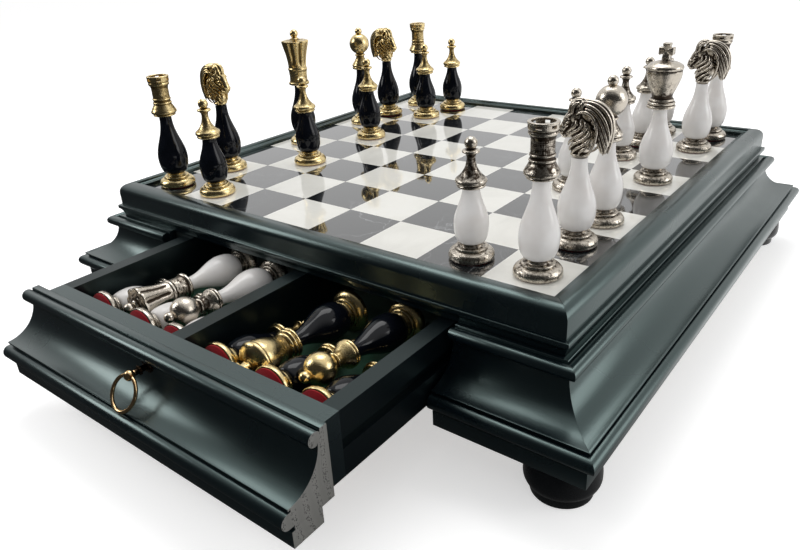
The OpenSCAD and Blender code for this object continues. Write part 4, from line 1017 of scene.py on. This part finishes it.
# ---------------------------------------------------------------------------
# Knight heads: cast horses' heads with a full mane, a strong curve behind the cheek and
# wavy locks over the cheek and jaw. Both sides of a head are alike.
def knight_head():
    """A knight's head, standing on its column and looking along +X."""
    top = column_of["knight"][0]
    head = bmesh.new()

    def lump(at, sizes, lean=0.0):
        """A rounded lump of the head: its middle, half sizes and lean in side view."""
        made = bmesh.ops.create_icosphere(head, subdivisions=3, radius=mm)["verts"]
        bmesh.ops.scale(head, verts=made, vec=sizes)
        bmesh.ops.rotate(head, verts=made, matrix=Matrix.Rotation(radians(lean), 3, "Y"))
        bmesh.ops.translate(head, verts=made, vec=[c * mm for c in at])

    # neck, cheeks, brow and muzzle
    lump((0, 0, 1.6), (5.0, 4.8, 1.8))
    lump((0.4, 0, 5.0), (5.2, 4.0, 5.0))
    lump((-1.8, 0, 10.5), (6.4, 3.7, 6.5))
    lump((0.2, 0, 16.5), (6.6, 3.9, 6.6))
    lump((2.6, 0, 20.6), (4.4, 4.0, 5.0), 20)
    lump((4.2, 0, 23.6), (2.9, 3.1, 3.6), 15)
    lump((6.1, 0, 18.6), (3.6, 3.3, 6.0), -30)
    lump((8.2, 0, 15.2), (3.0, 2.9, 5.2), -34)
    lump((9.9, 0, 12.6), (2.2, 2.7, 2.4), -14)
    lump((5.6, 0, 12.6), (5.4, 2.6, 3.2), 8)
    lump((8.2, 0, 10.3), (2.3, 2.2, 1.3), 14)
    for side in (1, -1):
        lump((10.9, side * 1.9, 13.0), (0.7, 0.7, 0.8))
        lump((6.0, side * 3.1, 21.2), (2.0, 0.8, 0.7), 34)
        lump((5.6, side * 3.3, 19.7), (0.9, 0.6, 0.7))
        lump((-0.7, side * 3.3, 26.2), (1.2, 1.0, 2.7), -10)
    # body of the mane, under its locks
    lump((-3.6, 0, 22.5), (5.2, 3.4, 5.6))
    lump((-7.8, 0, 21.5), (5.6, 3.0, 6.0), 20)
    lump((-11.0, 0, 17.5), (4.6, 2.5, 6.0))
    lump((-12.4, 0, 12.0), (3.3, 2.1, 5.6))
    lump((-12.8, 0, 7.2), (2.0, 1.5, 4.2))

    def lock(points, thick, both=True):
        """A lock of hair through points of x, outward y, height and thickness share."""
        line = flowing(points, 4)
        facets = 8
        for side in (1, -1) if both else (1,):
            spots = [Vector((x, side * y, z)) for x, y, z, _ in line]
            rings = []
            for k, spot in enumerate(spots):
                along = (spots[min(k + 1, len(spots) - 1)] - spots[max(k - 1, 0)]).normalized()
                across = along.cross(Vector((0, 1, 0))).normalized()
                outward = across.cross(along)
                rings.append([head.verts.new(
                    (spot + (across * cos(2 * pi * i / facets)
                             + outward * sin(2 * pi * i / facets))
                     * thick * line[k][3]) * mm) for i in range(facets)])
            for low, high in zip(rings, rings[1:]):
                for i in range(facets):
                    head.faces.new((low[i], low[i - 1], high[i - 1], high[i]))
            head.faces.new(rings[0])
            head.faces.new(rings[-1][::-1])

    # locks of the mane: from the crest and from behind the cheek they sweep back and down
    lock([(1.4, 0, 28.6, 0.7), (-3.6, 0, 28.7, 1.0), (-8.6, 0, 27.7, 1.0),
          (-12.8, 0, 24.9, 1.0), (-15.4, 0, 20.4, 1.0), (-16.2, 0, 14.6, 1.0),
          (-15.6, 0, 8.8, 0.8), (-14.4, 0, 3.6, 0.3)], 1.1, both=False)
    for points in (
            [(0.0, 2.0, 28.4), (-4.8, 2.3, 28.3), (-9.2, 2.3, 27.0), (-12.9, 2.1, 24.0),
             (-15.3, 1.9, 19.6), (-16.0, 1.6, 14.4), (-15.6, 1.2, 9.6)],
            [(-1.6, 3.2, 27.6), (-5.2, 3.6, 26.8), (-8.8, 3.6, 25.1), (-12.0, 3.3, 21.7),
             (-14.3, 2.9, 17.4), (-15.4, 2.4, 12.8), (-15.2, 1.8, 7.8)],
            [(-2.8, 3.9, 25.6), (-6.2, 4.3, 24.7), (-9.0, 4.1, 22.5), (-11.4, 3.8, 19.1),
             (-13.3, 3.4, 14.8), (-14.5, 2.8, 10.2), (-14.6, 2.0, 5.6)],
            [(-6.2, 4.4, 22.9), (-8.8, 4.5, 20.3), (-10.7, 4.2, 16.8), (-12.3, 3.7, 12.7),
             (-13.5, 3.0, 8.4), (-13.9, 2.2, 3.8)],
            [(-9.1, 4.5, 17.9), (-10.3, 4.3, 14.9), (-11.4, 3.8, 11.2), (-12.4, 3.1, 7.2),
             (-13.0, 2.2, 3.0)],
            [(-9.8, 4.3, 12.9), (-10.5, 3.8, 10.0), (-11.3, 3.2, 7.0), (-12.0, 2.4, 4.0)]):
        shares = [0.55] + [1.0] * (len(points) - 3) + [0.85, 0.35]
        lock([(*point, share) for point, share in zip(points, shares)], 0.94)
    # the strong curve behind the cheek, from the ear down to the throat
    lock([(1.8, 3.9, 22.4, 0.5), (-0.4, 4.7, 23.6, 0.9), (-3.6, 5.0, 24.0, 1.0),
          (-6.6, 5.2, 22.6, 1.0), (-8.8, 5.2, 19.5, 1.0), (-9.9, 5.1, 15.6, 1.0),
          (-9.6, 5.0, 11.8, 1.0), (-8.8, 4.9, 8.4, 1.0), (-7.4, 4.6, 5.2, 0.9),
          (-5.4, 4.2, 2.8, 0.7), (-3.4, 3.8, 1.9, 0.4)], 0.80)
    # wavy locks over the cheek and jaw, swept forward and down to the throat
    for points in (
            [(1.4, 4.2, 19.6), (0.9, 4.7, 17.9), (1.9, 4.6, 16.2), (4.0, 4.0, 14.7),
             (6.0, 3.3, 13.3)],
            [(-1.2, 4.4, 19.9), (-1.9, 4.9, 17.7), (-0.7, 5.0, 15.6), (1.7, 4.7, 13.8),
             (4.3, 3.9, 12.1), (6.2, 3.0, 10.4)],
            [(-3.4, 4.3, 19.3), (-4.5, 5.0, 16.8), (-3.4, 5.2, 14.3), (-0.9, 5.1, 12.3),
             (2.0, 4.6, 10.4), (4.4, 3.8, 8.4), (5.3, 3.2, 6.3)],
            [(-5.7, 4.3, 16.4), (-6.0, 4.9, 13.8), (-4.3, 5.2, 11.5), (-1.7, 5.1, 9.6),
             (1.4, 4.7, 7.7), (3.8, 3.9, 5.6), (4.6, 3.2, 3.6)],
            [(-6.3, 4.4, 11.4), (-5.1, 4.9, 9.1), (-2.9, 5.0, 7.3), (-0.2, 4.8, 5.6),
             (1.9, 4.4, 3.7), (2.6, 4.0, 1.9)],
            [(-5.8, 4.4, 7.3), (-3.9, 4.7, 5.6), (-2.0, 4.7, 4.0), (-1.0, 4.5, 2.4)]):
        shares = [0.5] + [1.0] * (len(points) - 3) + [0.85, 0.4]
        lock([(*point, share) for point, share in zip(points, shares)], 0.88)
    # forelock falling over the brow, and folds along the face
    lock([(-0.8, 0, 29.1, 0.7), (2.2, 0, 29.2, 1.0), (4.9, 0, 28.0, 1.0),
          (6.6, 0, 25.6, 0.8), (7.6, 0, 22.6, 0.3)], 1.0, both=False)
    for points in ([(-0.2, 1.6, 28.9), (2.6, 1.9, 28.6), (4.8, 2.1, 26.8), (5.9, 2.1, 24.2),
                    (7.0, 1.7, 21.8)],
                   [(0.6, 2.9, 27.8), (2.9, 3.2, 27.0), (3.9, 3.4, 25.0), (4.0, 3.5, 23.0),
                    (5.2, 3.2, 21.9)]):
        lock([(*point, share) for point, share in zip(points, (0.6, 1.0, 1.0, 0.8, 0.4))],
             0.95)
    lock([(4.9, 3.4, 18.0, 0.4), (6.6, 3.3, 17.4, 0.9), (8.2, 2.9, 15.6, 0.5)], 0.55)
    lock([(5.4, 3.3, 16.2, 0.4), (7.0, 3.1, 15.4, 0.9), (8.6, 2.7, 13.6, 0.5)], 0.50)
    lock([(10.9, 1.7, 11.2, 0.4), (9.0, 2.4, 10.6, 0.9), (7.0, 2.6, 11.2, 0.5)], 0.45)
    bmesh.ops.recalc_face_normals(head, faces=head.faces)
    bmesh.ops.translate(head, verts=head.verts, vec=(0, 0, top * mm))
    rough = bpy.data.meshes.new("knight_lumps")
    head.to_mesh(rough)
    head.free()
    block = bpy.data.objects.new("knight_lumps", rough)
    bpy.context.scene.collection.objects.link(block)
    skin = block.modifiers.new("skin", "REMESH")
    skin.mode = "VOXEL"
    skin.voxel_size = 0.27 * mm
    cast = bpy.data.meshes.new_from_object(
        block.evaluated_get(bpy.context.evaluated_depsgraph_get()))
    bpy.data.objects.remove(block)
    bpy.data.meshes.remove(rough)
    form = bmesh.new()
    form.from_mesh(cast)
    bpy.data.meshes.remove(cast)
    bmesh.ops.smooth_vert(form, verts=form.verts, factor=0.5, use_axis_x=True,
                          use_axis_y=True, use_axis_z=True)
    shade_smooth(form)
    return form


horse = knight_head()
for metal, turn, full, level in (("gold", 0, 0.42, 0.45), ("silver", 180, 0.20, 0.57)):
    cast = horse.copy()
    note_hollows(cast, rounds=12, full=full, level=level)
    for count, placing in enumerate(standing(metal, "knight", turn), 1):
        fit_heads(f"{metal}_knight_head_{count}", cast.copy(), [placing], metal,
                  metal + "_knight_heads")
    cast.free()
horse.free()
